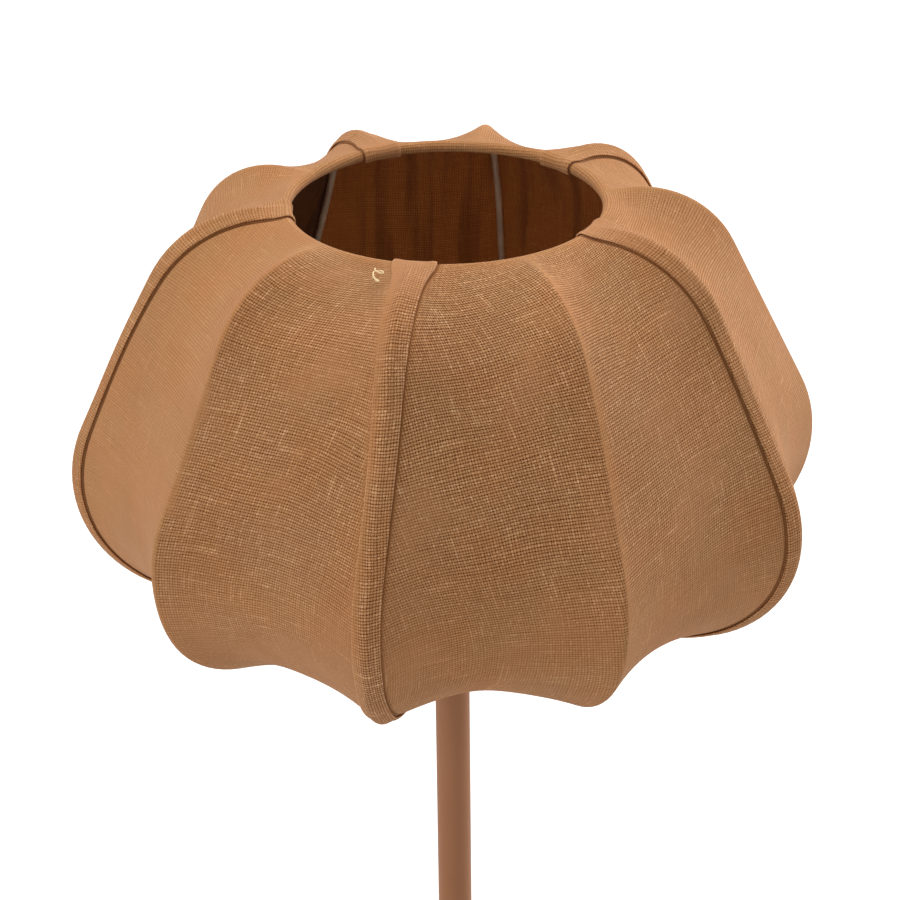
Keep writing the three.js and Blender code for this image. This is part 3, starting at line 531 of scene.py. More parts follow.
# %% [markdown]
# ## A frame bent by hand
# In the photograph the lower half of the shade sits a few millimetres to the left of where ten equal ribs
# would put it, and here and there the cloth is drawn in or stands out by two millimetres. The real frame
# was welded by hand. One function moves wires and cloth together, so nothing comes apart. The pulls fade
# out at the bottom ring, which stays round.

# %% Lean
LEAN = 3.2
# angle from the front, distance from the stem and depth of the spot, its reach in degrees and in mm,
# and how far it moves outwards and upwards
PULLS = ((61, 150, 140, 14, 26, 1.8, -0.6),
         (6, 125, 178, 9, 24, 0, 2.6),
         (-36, 125, 178, 8, 24, 0, 2.6),
         (-47, 168, 135, 9, 26, -1.8, 0.4),
         (-83, 135, 60, 16, 34, 1.6, 0))


def smooth(value, start, end):
    share = np.clip((value - start) / (end - start), 0, 1)
    return share * share * (3 - 2 * share)


def within(value, low, high, fade):
    """1 between two limits, and down to 0 over a short stretch inside each."""
    return smooth(np.minimum(value - low, high - value), 0, fade)


def bell(distance, width):
    """1 at distance 0 and close to 0 beyond twice the width."""
    return np.exp(-(distance / width) ** 2)


def settled(points):
    """Points of the shade, pulled out or up in a few spots and moved round the stem by up to LEAN."""
    x, y, z = np.moveaxis(np.asarray(points, float), -1, 0)
    radius, azimuth, depth = np.hypot(x, y), np.arctan2(x, -y), TOP_RING_HEIGHT - z
    outward, upward = 0, 0
    free = smooth(radius, RIB[-1, 0] + 2, RIB[-1, 0] + 16)
    for angle, distance, level, wide, reach, out, up in PULLS:
        away = np.hypot(radius - distance, depth - level)
        share = bell(np.degrees(azimuth) - angle, wide) * bell(away, reach)
        outward, upward = outward + out * share, upward + up * share
    azimuth = azimuth - LEAN * smooth(depth, 40, 125) * np.cos(azimuth) * np.abs(np.cos(azimuth)) / radius
    return at(radius + outward * free, azimuth, z + upward * free)


print("at the foot the ribs lean by", round(math.degrees(LEAN / RIB[-1, 0]), 2), "degrees")

# %% [markdown]
# ## A shell of cloth
# Cloth that is drawn as a single surface looks like paper, and can't be made or printed. So a cloth here
# is a closed shell: an outer and an inner copy of one grid, joined round the edge. It also carries its
# own measure in millimetres along and across the threads, and three painted values: where it is the inside
# of the shade, where the weave's painted light and shade and its bump are turned down, and how much painted
# shade darkens the crease beside a seam, which is negative for a painted highlight on a band's folded edge.

# %% Cloth shells
WIRE_CLEARANCE = 0.3
LINEN_THICKNESS = 0.9
PANEL_LIFT = WIRE / 2 + WIRE_CLEARANCE
PANEL_ROUND = PANEL_LIFT + LINEN_THICKNESS
HEM_STEP = math.radians(11)
TOP_HEM_END, BOTTOM_HEM_END = math.radians(215), math.radians(-200)


def hem_rows(points, normals, end_turn):
    """Rows that go on round a ring's wire, from the normals of the last row to the end turn."""
    outward = unit(points * np.array([1, 1, 0]))
    start = np.arctan2(normals[:, 2], np.sum(normals * outward, axis=1))
    count = math.ceil(abs(end_turn - start.mean()) / HEM_STEP)
    rows, turns = [], []
    for k in range(1, count + 1):
        angle = start + (end_turn - start) * k / count
        rows.append(np.cos(angle)[:, None] * outward + np.sin(angle)[:, None] * np.array([0, 0, 1.0]))
        turns.append(np.abs(angle - start).mean())
    return rows, turns


def with_hems(points, normals, *lifts):
    """The grid with both hems added, and the measure down the cloth of every row."""
    top, top_turns = hem_rows(points[0], normals[0], TOP_HEM_END)
    foot, foot_turns = hem_rows(points[-1], normals[-1], BOTTOM_HEM_END)
    repeat = [0] * len(top) + list(range(len(points))) + [-1] * len(foot)
    run = np.r_[-np.array(top_turns[::-1]) * PANEL_ROUND, RIB_RUN,
                RIB_RUN[-1] + np.array(foot_turns) * PANEL_ROUND]
    return points[repeat], np.concatenate([top[::-1], normals, foot]), run, [lift[repeat] for lift in lifts]


def shell(name, points, normals, inner, outer, threads, calm, crease_shade, azimuth):
    """A closed shell between two lifts of one grid, turned to its azimuth and set at the top ring."""
    rows, columns = points.shape[:2]
    c, s = math.cos(azimuth), math.sin(azimuth)
    spin = np.array([[c, s, 0], [-s, c, 0], [0, 0, 1]])
    sheets = [points + normals * lift[..., None] for lift in (outer, inner)]
    spots = np.concatenate([sheet.reshape(-1, 3) for sheet in sheets]) @ spin + (0, 0, TOP_RING_HEIGHT)
    count = rows * columns
    faces = grid_faces(rows, columns) + grid_faces(rows, columns, start=count, flip=True)
    rim = ([j for j in range(columns)] + [i * columns + columns - 1 for i in range(1, rows)]
           + [(rows - 1) * columns + j for j in range(columns - 2, -1, -1)]
           + [i * columns for i in range(rows - 2, 0, -1)])
    faces += [[a, a + count, b + count, b] for a, b in zip(rim, rim[1:] + rim[:1])]
    piece = add_mesh(name, settled(spots), faces, sharp=60, turn_over=False)
    mesh = piece.data
    measure = np.tile(np.stack(threads, -1).reshape(-1, 2), (2, 1))
    corners = np.zeros(len(mesh.loops), np.int32)
    mesh.loops.foreach_get("vertex_index", corners)
    mesh.uv_layers.new(name="threads").data.foreach_set("uv", measure[corners].ravel())
    # Crease values above zero paint shade beside a seam, and values below zero paint a highlight.
    for label, values in (("inside", np.r_[np.zeros(count), np.ones(count)]),
                          ("calm", np.tile(calm.ravel(), 2)), ("crease_shade", np.tile(crease_shade.ravel(), 2))):
        mesh.attributes.new(label, "FLOAT", "POINT").data.foreach_set("value", values.astype(np.float32))
    down, across = np.diff(sheets[0], axis=0)[:, :-1], np.diff(sheets[0], axis=1)[:-1]
    piece["cloth_area"] = float(np.linalg.norm(np.cross(down, across), axis=-1).sum()) * MM * MM
    return piece


# %% [markdown]
# ## Five panels
# One panel covers two bays. It goes over a plain rib in its middle and ends on a seam rib at either side.
# The threads run along the plain rib, so towards the narrow top they run out at the seams, as they do in
# real cut cloth. Beside each seam the cloth is pulled down into a small ditch by the stitches, and painted
# shade darkens the ditch, on one side of some seams more than the other. The weave's painted light and
# shade is strong in some bays and turned down in others and along one side of a plain rib, where the cloth
# is lit flat and seen at a slant.

# %% Panels
ROLL_STEPS = [0, 1 / 3, 2 / 3, 1]
PANEL_SHARES = 24
DITCH_WIDTH, DITCH_DEPTH, DITCH_AT_RING = 0.9, 0.7, 0.2
BAND_HALF = 5.0
# How far the weave's painted light and shade, and its bump, are turned down in each bay, left and right of the
# plain rib, where the cloth is lit flat and seen at a slant.
CALM_BAYS = ((0, 0.12), (0.4, 0.45), (0.3, 0.3), (0.5, 0.6), (0.7, 0.1))
# Per panel, left and right: the depth of the ditch beside the seam and the strength of its painted shade.
CREASE_DEPTH_AND_SHADE = ((1, 1), (0.4, 1), (0.15, 0.15), (1, 0.4), (1, 0.15))
GRAIN_TURNS = (7.5, -3, 4, 2, -1)
SEAM_DIP, SEAM_DIP_WIDTH = 1.8, 18


def other_end(points):
    """Reflects the bay's points about the plane through its middle, onto the rib at its far end."""
    side = np.array([math.cos(BAY / 2), math.sin(BAY / 2), 0])
    return points - 2 * (points @ side)[..., None] * side


def band_half(run):
    """Half the width of a seam band beside its rib: it flares at the lip and a little at the foot."""
    flare = 1.6 * bell(run, 45) + 2.9 * bell(run, 11)
    return BAND_HALF + flare + 1.5 * smooth(run, 200, 280)


DITCH_AT = band_half(RIB_RUN)[:, None] + 0.6
LIP_CALM = 0.6 * (1 - smooth(RIB_RUN, 1, 7))[:, None]


def half_panel():
    """From the plain rib to the seam: points, normals, distance across and distance from the seam."""
    width = NET_RUN[:, -1:]
    fine = np.linspace(0, 1, PANEL_SHARES + 1)[1:-1]
    seam_side = DITCH_AT + [2.8, 1.3, 0.6, 0, -0.6, -1.3, -2.7]
    shares = beside(fine * (1 - seam_side[:, :1] / width), 1 - seam_side / width)
    points, normals = across_bay(shares)
    wire_points, wire_normals, half = across_wire(ROLL_STEPS)
    seam_turns = [1, 0.6, 0.2]
    seam_points, seam_normals, _ = across_wire(seam_turns)
    arc = half[:, None] * PANEL_ROUND
    across = beside(arc * ROLL_STEPS, arc + shares * width, arc + width + arc * (1 - np.array(seam_turns)))
    points = beside(wire_points, points, other_end(seam_points))
    normals = beside(wire_normals, normals, other_end(seam_normals))
    return points, normals, across, arc + width - across


def grain(across, run, turn, from_seam=None):
    """The cloth's own two measures, turned against the ribs; its rows dip a little towards a seam."""
    down = np.broadcast_to(run[:, None], across.shape)
    dip = 0 if from_seam is None else SEAM_DIP * bell(from_seam, SEAM_DIP_WIDTH)
    c, s = math.cos(math.radians(turn)), math.sin(math.radians(turn))
    return across * c - down * s, across * s + down * c - dip


def sides(across, left, right, border=0):
    """One value on the left and another on the right of a border."""
    return left + (right - left) * smooth(across, border - 1.5, border + 1.5)


def panel(number):
    points, normals, across, from_seam = both_sides(*half_panel())
    # The ditch beside each seam sets both the cloth's dip and the painted shade in it; the cube below narrows
    # the shade.
    ditch_and_shade = sides(across, *CREASE_DEPTH_AND_SHADE[number - 1])
    crease_shade = ditch_and_shade * bell(from_seam - DITCH_AT, DITCH_WIDTH)
    fold = 0.6 * (1 - ditch_and_shade) * bell(from_seam - DITCH_AT - 1, 1.6)
    off_rings = within(RIB_RUN, 2, RIB_RUN[-1] - 2, 12)[:, None]
    inner = PANEL_LIFT - (DITCH_AT_RING + (DITCH_DEPTH - DITCH_AT_RING) * off_rings) * crease_shade
    bay_calm = sides(across, *CALM_BAYS[number - 1])
    strip = 0.75 * (bay_calm > 0.11) * (1 - smooth(np.abs(across), 2, 8))
    low = 0.4 * smooth(RIB_RUN, 130, 190)[:, None]
    places = np.broadcast_arrays(bay_calm + low * (1 - bay_calm), strip, LIP_CALM, crease_shade, fold)
    points, normals, run, (inner, across, calm, crease_shade, from_seam) = with_hems(
        points, normals, inner, across, np.maximum.reduce(places), crease_shade ** 3, from_seam)
    return shell(f"linen_panel_{number}", points, normals, inner, inner + LINEN_THICKNESS,
                 grain(across, run, GRAIN_TURNS[number - 1], from_seam), calm, crease_shade,
                 FIRST_SEAM + BAY * (2 * number - 1))


panels = [panel(k) for k in range(1, 6)]

# %% [markdown]
# ## Five seam bands
# A band is a straight strip, turned under along both edges and stitched down over the seam. The fold
# makes the edges thicker than the middle, and leaves a small step where the band meets the panel, whose
# shade is painted into the panel as a dark line. A thin highlight is painted along the band's folded edges.
# At the top the strip was laid a little wider before it was folded over the lip.

# %% Bands
BAND_LIFT = PANEL_LIFT + LINEN_THICKNESS + 0.12
BAND_TURN = 2.0
# How far the weave's painted light and shade, and its bump, are turned down on either side of each band.
BAND_CALM = ((0.6, 0), (0.2, 0.2), (0.4, 0.4), (0.4, 0.4), (0.5, 0.5))
BAND_CALM_AT = -3.6
BAND_ROUND = BAND_LIFT + LINEN_THICKNESS
EDGE_ROUND = 0.62
EDGE_SWELL = 0.3


def band(number):
    half_width = band_half(RIB_RUN)[:, None]
    round_turns = np.linspace(0, math.pi / 2, 6)
    flat = np.array([0.12, 0.3, 0.48, 0.62, 0.74, 0.84])
    inset = EDGE_ROUND * (1 - np.sin(round_turns))
    distance = beside(flat * (half_width - EDGE_ROUND), half_width - inset)
    points, normals = across_bay(distance / NET_RUN[:, -1:])
    wire_points, wire_normals, half = across_wire(ROLL_STEPS)
    arc = half[:, None] * BAND_ROUND
    swell = EDGE_SWELL * bell(half_width - distance - 1.7, 1.3)
    thick = LINEN_THICKNESS + beside(np.zeros((len(RIB), len(ROLL_STEPS))), swell)
    squeeze = np.ones_like(thick)
    squeeze[:, -len(round_turns):] = np.cos(round_turns) * 0.97 + 0.03
    points, normals, across, thick, squeeze = both_sides(
        beside(wire_points, points), beside(wire_normals, normals), beside(arc * ROLL_STEPS, arc + distance),
        thick, squeeze)
    middle_lift = BAND_LIFT + thick / 2
    inner, outer = middle_lift - thick / 2 * squeeze, middle_lift + thick / 2 * squeeze
    calm = np.maximum(sides(across, *BAND_CALM[number - 1], BAND_CALM_AT), LIP_CALM)
    # A painted highlight along both folded edges of the band, passed as a negative crease value.
    rim = -0.35 * bell(half_width + arc - np.abs(across), 0.7)
    points, normals, run, (inner, outer, across, calm, rim) = with_hems(
        points, normals, inner, outer, across, calm, rim)
    return shell(f"seam_tape_{number}", points, normals, inner, outer, grain(across, run, BAND_TURN), calm, rim,
                 FIRST_SEAM + 2 * BAY * (number - 1))


bands = [band(k) for k in range(1, 6)]
BAND_FLAT = (round(2 * float(band_half(0))) * MM, round(float(RIB_RUN[-1]) + 18) * MM)
print("a band is cut from", [round(v / MM) for v in BAND_FLAT], "mm")

# %% [markdown]
# ## Linen
# The linen is a coarse plain weave: about 1.3 mm from thread to thread, with small holes where four
# threads meet, and here and there a slub, a thicker and paler stretch of thread. An image would give one
# fixed patch of cloth. Two sine waves give every crossing instead, noise shifts the threads a little, and
# each thread has its own tone. The colour also carries the weave's light and shade, painted: the tops of
# the threads lighter and paler as a painted sheen, the holes darker as painted shade, and a painted glint
# on some crossings. The inside is painted darker and warmer, for the shadow inside the lampshade and the
# warm light that comes through the cloth, darkest in the panel at the back left. It also glows faintly as
# painted light where daylight comes through the cloth, most of all in the panel at the back.

# %% Linen finish
WARP_PITCH, WEFT_PITCH = 1.2, 1.33
STRAY, DRIFT = 0.17, 1.4
# How strongly each panel's inside glows: painted light for daylight through the cloth.
GLOWS = (0.01, 0.014, 0.042, 0.003, 0.01)
LINEN = paint(177, 126, 81)
# How dark each panel's inside is painted, for the shadow inside the lampshade.
INSIDE_SHADES = (0.6, 0.68, 0.7, 0.25, 0.4)


def thread_look(cloth, along, count):
    """Shade of each thread and its slubs: along is the measure down it, count numbers the threads."""
    index = cloth.math("FLOOR", count)
    own = cloth.noise(cloth.place(index * 7.31, along * 0.02), 1.0, 0)
    slub = cloth.noise(cloth.place(index * 3.17, along * 0.04), 1.0, 1)
    return cloth.ramp(own, 0.25, 0.75, -1, 1), cloth.ramp(slub, 0.63, 0.73)


def wandering(cloth, side, along, measure, pitch):
    """Counts threads. Each one wanders a little to the side, slowly along its length."""
    path = cloth.place(side * 0.55, along * 0.05, pitch)
    return (measure + cloth.ramp(cloth.noise(path, 1.0, 1), 0.25, 0.75, -STRAY, STRAY)) / pitch


def cell_noise(cloth, a, b, shift):
    """One chance value for each cell of the weave, whose borders are moved by a share of a thread."""
    cells = [cloth.math("FLOOR", v + shift) * spread for v, spread in ((a, 5.37), (b, 7.71))]
    return cloth.noise(cloth.place(*cells), 1.0, 0)


def linen(name, colour, offset, inside_shade=0.6, glow=0.01):
    cloth = Finish(name, 0.95, Sheen_Weight=0.06, Sheen_Roughness=0.6, Specular_IOR_Level=0.15)
    measure = {"Vector": cloth.node("UVMap", uv_map="threads")}
    across = cloth.node("SeparateXYZ", "X", measure) + offset
    down = cloth.node("SeparateXYZ", "Y", measure) + offset * 0.37
    place = cloth.place(across, down)
    drift = cloth.ramp(cloth.noise(place, 0.014, 1), 0.3, 0.7, -DRIFT, DRIFT)
    a = wandering(cloth, across, down, across - drift, WARP_PITCH)
    b = wandering(cloth, down, across, down + drift, WEFT_PITCH)
    wave_a, wave_b = (cloth.math("SINE", v * math.pi) for v in (a, b))
    hill_a, hill_b = abs(wave_a), abs(wave_b)
    over = cloth.ramp(wave_a * wave_b, -0.25, 0.25)
    height = cloth.math("MAXIMUM", hill_a * (over * 0.8 + 0.2), hill_b * (1 - over * 0.8))
    pit = cloth.ramp(cloth.math("MAXIMUM", hill_a, hill_b), 0.8, 0.35)
    # A painted glint on some crossings of the threads.
    sparkle = cloth.ramp(cell_noise(cloth, a, b, 0), 0.52, 0.72)
    uneven = cloth.ramp(cell_noise(cloth, a, b, 0.5), 0.36, 0.66)
    shade_a, slub_a = thread_look(cloth, down, a)
    shade_b, slub_b = thread_look(cloth, across, b)
    own, slub = (second + over * (first - second) for first, second in ((shade_a, shade_b), (slub_a, slub_b)))
    slub = cloth.math("MAXIMUM", slub, cloth.math("MAXIMUM", slub_a, slub_b) * 0.5)
    calm, crease_shade, inside = (cloth.node("Attribute", "Fac", attribute_name=label)
                            for label in ("calm", "crease_shade", "inside"))
    worn = cloth.ramp(cloth.noise(place, 0.02, 3), 0.5, 0.66, 0, 0.45)
    show = (1 - calm) * (1 - worn)
    # Painted light and shade of the threads' relief: tops lighter, the hollows between threads darker.
    thread_shading = height - 0.55 - 0.66 * (1 - hill_b) ** 2 - 0.14 * (1 - hill_a) ** 2
    level = 1 + thread_shading * show * 0.62 + sparkle * height * show * 0.3
    level += own * (show * 0.03 + 0.015) + slub * (show * 0.23 + 0.05)
    # Painted shade in the holes of the weave.
    level *= 1 - pit * show * (uneven * 0.5 + 0.1)
    # Painted shade darkens the crease beside a seam; on a band's folded edge the value is negative and paints a
    # highlight.
    level *= 1 - crease_shade * (1 - inside) * 0.5
    level *= cloth.ramp(cloth.noise(place, 0.022, 2), 0.3, 0.7, 0.965, 1.035)
    # Lighter levels turn paler, as a painted sheen on the thread tops.
    pale = cloth.place(level, level ** 1.42, level ** 2.05)
    orange, olive = tinted(colour, 1.03, 0.96, 0.9), tinted(colour, 0.99, 0.99, 0.97)
    outer = cloth.mix(cloth.ramp(cloth.noise(place, 0.03, 3), 0.35, 0.65), orange, olive)
    outer = cloth.mix(worn, outer, tinted(colour, 0.99, 0.96, 1.07))
    streaks = cloth.ramp(cloth.noise(cloth.place(across, down * 0.06), 0.13, 1), 0.3, 0.56, 0.7, 1.1)
    # The inside is painted darker and warmer, for its shadow and the warm light that comes through the cloth;
    # streaks make it uneven along the threads.
    shaded_inside = tinted(colour, *(inside_shade * v for v in (1.1, 0.75, 0.36)))
    inner = cloth.mix(1.0, shaded_inside, cloth.place(streaks, streaks, streaks), "MULTIPLY")
    # The inside's emission is painted light for daylight through the cloth, brighter at the holes of the weave.
    cloth.set(Base_Color=cloth.mix(1.0, cloth.mix(inside, outer, inner), pale, "MULTIPLY"),
              Emission_Color=paint(200, 104, 38), Emission_Strength=inside * streaks * glow * (pit * 0.9 + 0.8))
    cloth.dent(height * show, 0.00035, 0.9)
    return cloth


for k, piece in enumerate(panels, 1):
    finish = linen(f"linen_{k}", LINEN, 37.0 * k, INSIDE_SHADES[k - 1], GLOWS[k - 1])
    dress(piece, finish, "shade", "linen", f"panel_{k}")
    ribs = [f"rib_{(2 * k - 2 + n) % 10 + 1:02d}" for n in range(3)]
for k, piece in enumerate(bands, 1):
    dress(piece, linen(f"linen_band_{k}", LINEN, 411.0 * k + 5), "shade", "linen_band", f"seam_band_{k}")
    neighbours = [f"linen_panel_{k}", f"linen_panel_{(k + 3) % 5 + 1}"]
print("linen on", len(panels) + len(bands), "pieces")

# %% [markdown]
# ## Wires
# The wires inside the shade are lacquered grey, but their colour is painted a light warm beige, for the
# warm light that reaches them through the linen. A bent wire is a round section carried along a line. The
# ribs stop just short of the two rings, where the real ones are butt welded, and swell a little there.

# %% Wires and rings
WIRE_SIDES = 14
WELD_SWELL = 0.165


def wire(name, path, radius, closed=False):
    """A round bar along a path of points in millimetres. radius is one number or one for each point."""
    path, radius = np.asarray(path, float), np.broadcast_to(radius, len(path))
    ahead = np.roll(path, -1, axis=0) - np.roll(path, 1, axis=0)
    heading = unit(ahead if closed else np.gradient(path, axis=0))
    aside = heading.mean(axis=0) + (0.01, 0.02, 0.03)
    up = np.array([0, 0, 1.0]) if closed else unit(np.cross(heading[0], aside))
    angles = circle(WIRE_SIDES)[:, None]
    sections = []
    for spot, way, size in zip(path, heading, radius):
        up = unit(up - (up @ way) * way)
        sections.append(spot + size * (np.cos(angles) * up + np.sin(angles) * np.cross(way, up)))
    if closed:
        faces = grid_faces(len(path), WIRE_SIDES, close_rows=True, close_columns=True)
    else:
        faces = bar_faces(len(path), WIRE_SIDES)
    return add_mesh(name, np.concatenate(sections), faces, sharp=50)


def grey_lacquer_warm_lit():
    grey = Finish("grey_lacquer_warm_lit", 0.5, 0, Coat_Weight=0.2, Coat_Roughness=0.35)
    place = grey.node("TexCoord", "Object")
    mottled = grey.ramp(grey.noise(place, 90, 3), 0.3, 0.7)
    # Painted warm light: a light beige in place of the wire's grey.
    grey.set(Base_Color=grey.mix(mottled, paint(214, 188, 158), paint(198, 172, 144)))
    grey.dent(grey.noise(place, 900, 2), 0.00008, 0.5)
    return grey


GREY = grey_lacquer_warm_lit()
for k in range(RIB_COUNT):
    line = settled(at(RIB[:, 0], FIRST_SEAM + BAY * k, RIB[:, 1] + TOP_RING_HEIGHT))
    for end, next_point in ((0, 1), (-1, -2)):
        line[end] = line[end] + unit(line[next_point] - line[end]) * (WIRE / 2 + 0.05)
    thickness = np.full(len(line), WIRE / 2)
    thickness[[0, -1]] += WELD_SWELL
    dress(wire(f"rib_wire_{k + 1:02d}", line, thickness), GREY, "shade", "frame_wire", f"rib_{k + 1:02d}")
for node, distance, height in (("top_ring", TOP_RING_RADIUS, TOP_RING_HEIGHT),
                               ("bottom_ring", RIB[-1, 0], BOTTOM_RING_HEIGHT)):
    ring = wire(f"{node}_wire", at(distance, circle(144), height), WIRE / 2, closed=True)
    dress(ring, GREY, "shade", "frame_wire", node)
print("ten ribs of", round(float(RIB_RUN[-1])), "mm and two rings")

# %% [markdown]
# A short end of pale sewing thread stands out beside the front seam, just under the lip. It is a tube along
# a small knotted path that lies on the cloth.

# %% Loose thread
THREAD_RADIUS = 0.36


def loose_thread():
    turns = np.linspace(0, 1, 60)
    run = 9 + 12 * turns + 2.6 * np.sin(11 * turns)
    aside = 12.6 + 2.3 * np.cos(12 * turns) * (1 - 0.3 * turns)
    distance, depth = (np.interp(run, RIB_RUN, RIB[:, axis]) for axis in (0, 1))
    lift = PANEL_ROUND + THREAD_RADIUS * 1.3 + 0.5 * np.abs(np.sin(14 * turns))
    path = at(distance + lift * 0.35, FIRST_SEAM - aside / distance, depth + lift * 0.95 + TOP_RING_HEIGHT)
    return wire("loose_thread", settled(path), THREAD_RADIUS)


THREAD = plain_finish("pale_thread", paint(238, 208, 160), 0.9, grain=3000, depth=0.00005, shift=0.9)
dress(loose_thread(), THREAD, "shade", "linen_band")
print("the loose thread lies beside the seam at", round(math.degrees(FIRST_SEAM), 1), "degrees")

# %% [markdown]
# Three short arms carry the shade. Each laps over the bottom ring, runs in level, bends up and meets the
# flat fitter ring that sits on the lampholder's shoulder.

# %% Fitter ring and arms
ARM_BAYS = (0.5, 3.5, 7.5)
ARM_LAP, ARM_LEVEL, ARM_BEND = 1.0, 10, 8
FITTER_BORE = 20.0
fitter_outer, fitter_low, fitter_high = span("fitter_ring")


def fitter_arm(number):
    lapped = BOTTOM_RING_HEIGHT + WIRE + WIRE_CLEARANCE
    middle = (fitter_low + fitter_high) / 2
    edge, inner_end = RIB[-1, 0], fitter_outer + WIRE_CLEARANCE
    line = outline([(edge + ARM_LAP, lapped), (edge - ARM_LEVEL, lapped, ARM_BEND),
                    (inner_end + ARM_BEND, middle, ARM_BEND), (inner_end, middle)], 10)
    azimuth = FIRST_SEAM + BAY * ARM_BAYS[number - 1]
    return wire(f"shade_arm_{number}", at(line[:, 0], azimuth, line[:, 1]), WIRE / 2)


for k in (1, 2, 3):
    dress(fitter_arm(k), GREY, "shade", "frame_wire", f"fitter_arm_{k}")
fitter = sleeve("shade_fitter", FITTER_BORE, span("fitter_ring"), 0.3, arc_steps=3)
dress(fitter, GREY, "shade", "frame_wire", "fitter_ring")
print("the fitter ring is", round(2 * fitter_outer), "mm across")

# %% [markdown]
# ## The stem
# The stem is plain round tube with a collar at either end, in a matt brown powder coat. Powder leaves a
# very fine dimpled skin, which breaks up the reflections. It is made here with two layers of noise.

# %% Stem


def powder_coat():
    coat = Finish("brown_powder_coat", 0.62, 0, Specular_IOR_Level=0.35)
    place = coat.node("TexCoord", "Object")
    skin = coat.noise(place, 1500, 2)
    cloud = coat.ramp(coat.noise(place, 14, 3), 0.3, 0.7)
    brown = coat.mix(cloud, paint(158, 107, 71), paint(153, 102, 67))
    coat.set(Base_Color=coat.mix(coat.ramp(skin, 0.62, 0.75, 0, 0.25), brown, paint(172, 124, 92)),
             Roughness=coat.ramp(skin, 0.3, 0.7, 0.55, 0.72))
    coat.dent(skin, 0.0001, 0.45)
    return coat


COAT = powder_coat()
ROD_PASSAGE = 5.3
tube_outer, tube_low, tube_high = span("stem_tube")
TUBE_BORE = tube_outer - 1
tube = sleeve("stem", TUBE_BORE, span("stem_tube"), 0.25, arc_steps=2)
dress(tube, COAT, "stand", "brown_coat", "stem_tube")


def collar(name, node, flange_low, flange_high, spigot_end):
    """A flange that covers the tube's end and a spigot inside the tube."""
    face, shoulder = sorted((flange_low, flange_high), reverse=spigot_end < flange_low)
    spigot = TUBE_BORE - 0.3
    corners = [(ROD_PASSAGE, face), (tube_outer, face, 0.6), (tube_outer, shoulder, 0.4), (spigot, shoulder),
               (spigot, spigot_end), (ROD_PASSAGE, spigot_end)]
    dress(turned(name, corners, arc_steps=4), COAT, "stand", "brown_coat", node)


_, foot_low, foot_high = span("foot_plug")
_, head_low, head_high = span("head_plug")
FLANGE = 3
collar("foot_collar", "foot_plug", foot_low, foot_low + FLANGE, foot_high)
collar("head_collar", "head_plug", head_high - FLANGE, head_high, head_low)
print("the stem stands from", round(tube_low, 1), "to", round(tube_high, 1), "mm")

# %% [markdown]
# ## The base
# The photograph ends above the base, so this is the usual one: a spun steel cover over an iron weight, on
# a felt pad. The cover's rim is rounded, and a rubber bush marks where the lead goes in at the back.

# %% Base
COVER_WALL = 1.2
BASE_DISHING, RIM_FILLET = 2.5, 7
SEAT_RADIUS = 14
base_outer, base_low, base_high = span("base_cover")
GLAND_HEIGHT = 7.3
GLAND_BARREL, GLAND_BORE = 3.6, 2.7


def base_cover():
    rim, inside = base_high - BASE_DISHING, base_outer - COVER_WALL
    cover = turned("base_shell", [
        (base_outer, base_low, 0.35), (base_outer, rim, RIM_FILLET), (SEAT_RADIUS, base_high, 1.5),
        (ROD_PASSAGE, base_high), (ROD_PASSAGE, base_high - COVER_WALL), (SEAT_RADIUS, base_high - COVER_WALL),
        (inside, rim - COVER_WALL, RIM_FILLET - COVER_WALL), (inside, base_low, 0.35)], steps=144, arc_steps=9)
    hole = [(GLAND_BARREL + 0.3, reach) for reach in (base_outer / 2, base_outer + 20)]
    return drilled(cover, lying(hole, GLAND_HEIGHT, 32, "y"))


def rubber_bush():
    lip, inner, outer = GLAND_BARREL + 1, base_outer - COVER_WALL - 0.6, base_outer + 0.3
    section = outline([(GLAND_BORE, inner - 1.4, 0.2), (lip, inner - 1.4, 0.4), (lip, inner, 0.2),
                       (GLAND_BARREL, inner), (GLAND_BARREL, outer), (lip, outer, 0.2),
                       (lip, outer + 1.4, 0.9), (GLAND_BORE, outer + 1.4, 0.2)], 4)
    faces = grid_faces(len(section), 40, close_rows=True, close_columns=True)
    return add_mesh("rubber_bush", np.concatenate(lying(section, GLAND_HEIGHT, 40, "y")), faces)


RUBBER = plain_finish("black_rubber", paint(38, 37, 36), 0.7)
FELT = plain_finish("grey_felt", paint(74, 70, 66), 1.0, grain=1800, depth=0.0004, shift=0.75, Sheen_Weight=0.4)
dress(base_cover(), COAT, "stand", "brown_coat", "base_cover")
dress(rubber_bush(), RUBBER, "stand", "gland_rubber", "cord_gland")
felt = sleeve("felt_disc", 0.5, span("felt_pad"), (0, 0.3, 0.6, 0), steps=144)
dress(felt, FELT, "stand", "felt", "felt_pad")
print("the base is", round(2 * base_outer), "mm across and", round(base_high), "mm high")

# %% [markdown]
# ## The lampholder
# Inside the shade a black moulded lampholder carries everything: a cap on the rod, a skirt with a shoulder
# for the shade and a screw thread above it, and a push-through switch bar. A thread is a ripple in the
# radius that climbs one pitch for each turn, so it can be turned like the rest.

# %% Lampholder


def screw(pitch, depth, low, high, inner=0):
    """A ripple for turned(): a thread on every point outside a radius, between two levels."""
    def ripple(angles, radius, height):
        wave = 0.5 - 0.5 * np.cos(2 * math.pi * (height / pitch - angles / (2 * math.pi)))
        return radius - np.where(radius > inner, depth * wave * within(height, low, high, pitch / 2), 0)
    return ripple


def ladder(radius, low, high, step):
    """Close points up a wall, so that a thread has something to bend."""
    return [(radius, z) for z in np.linspace(low, high, round(abs(high - low) / step) + 1)]


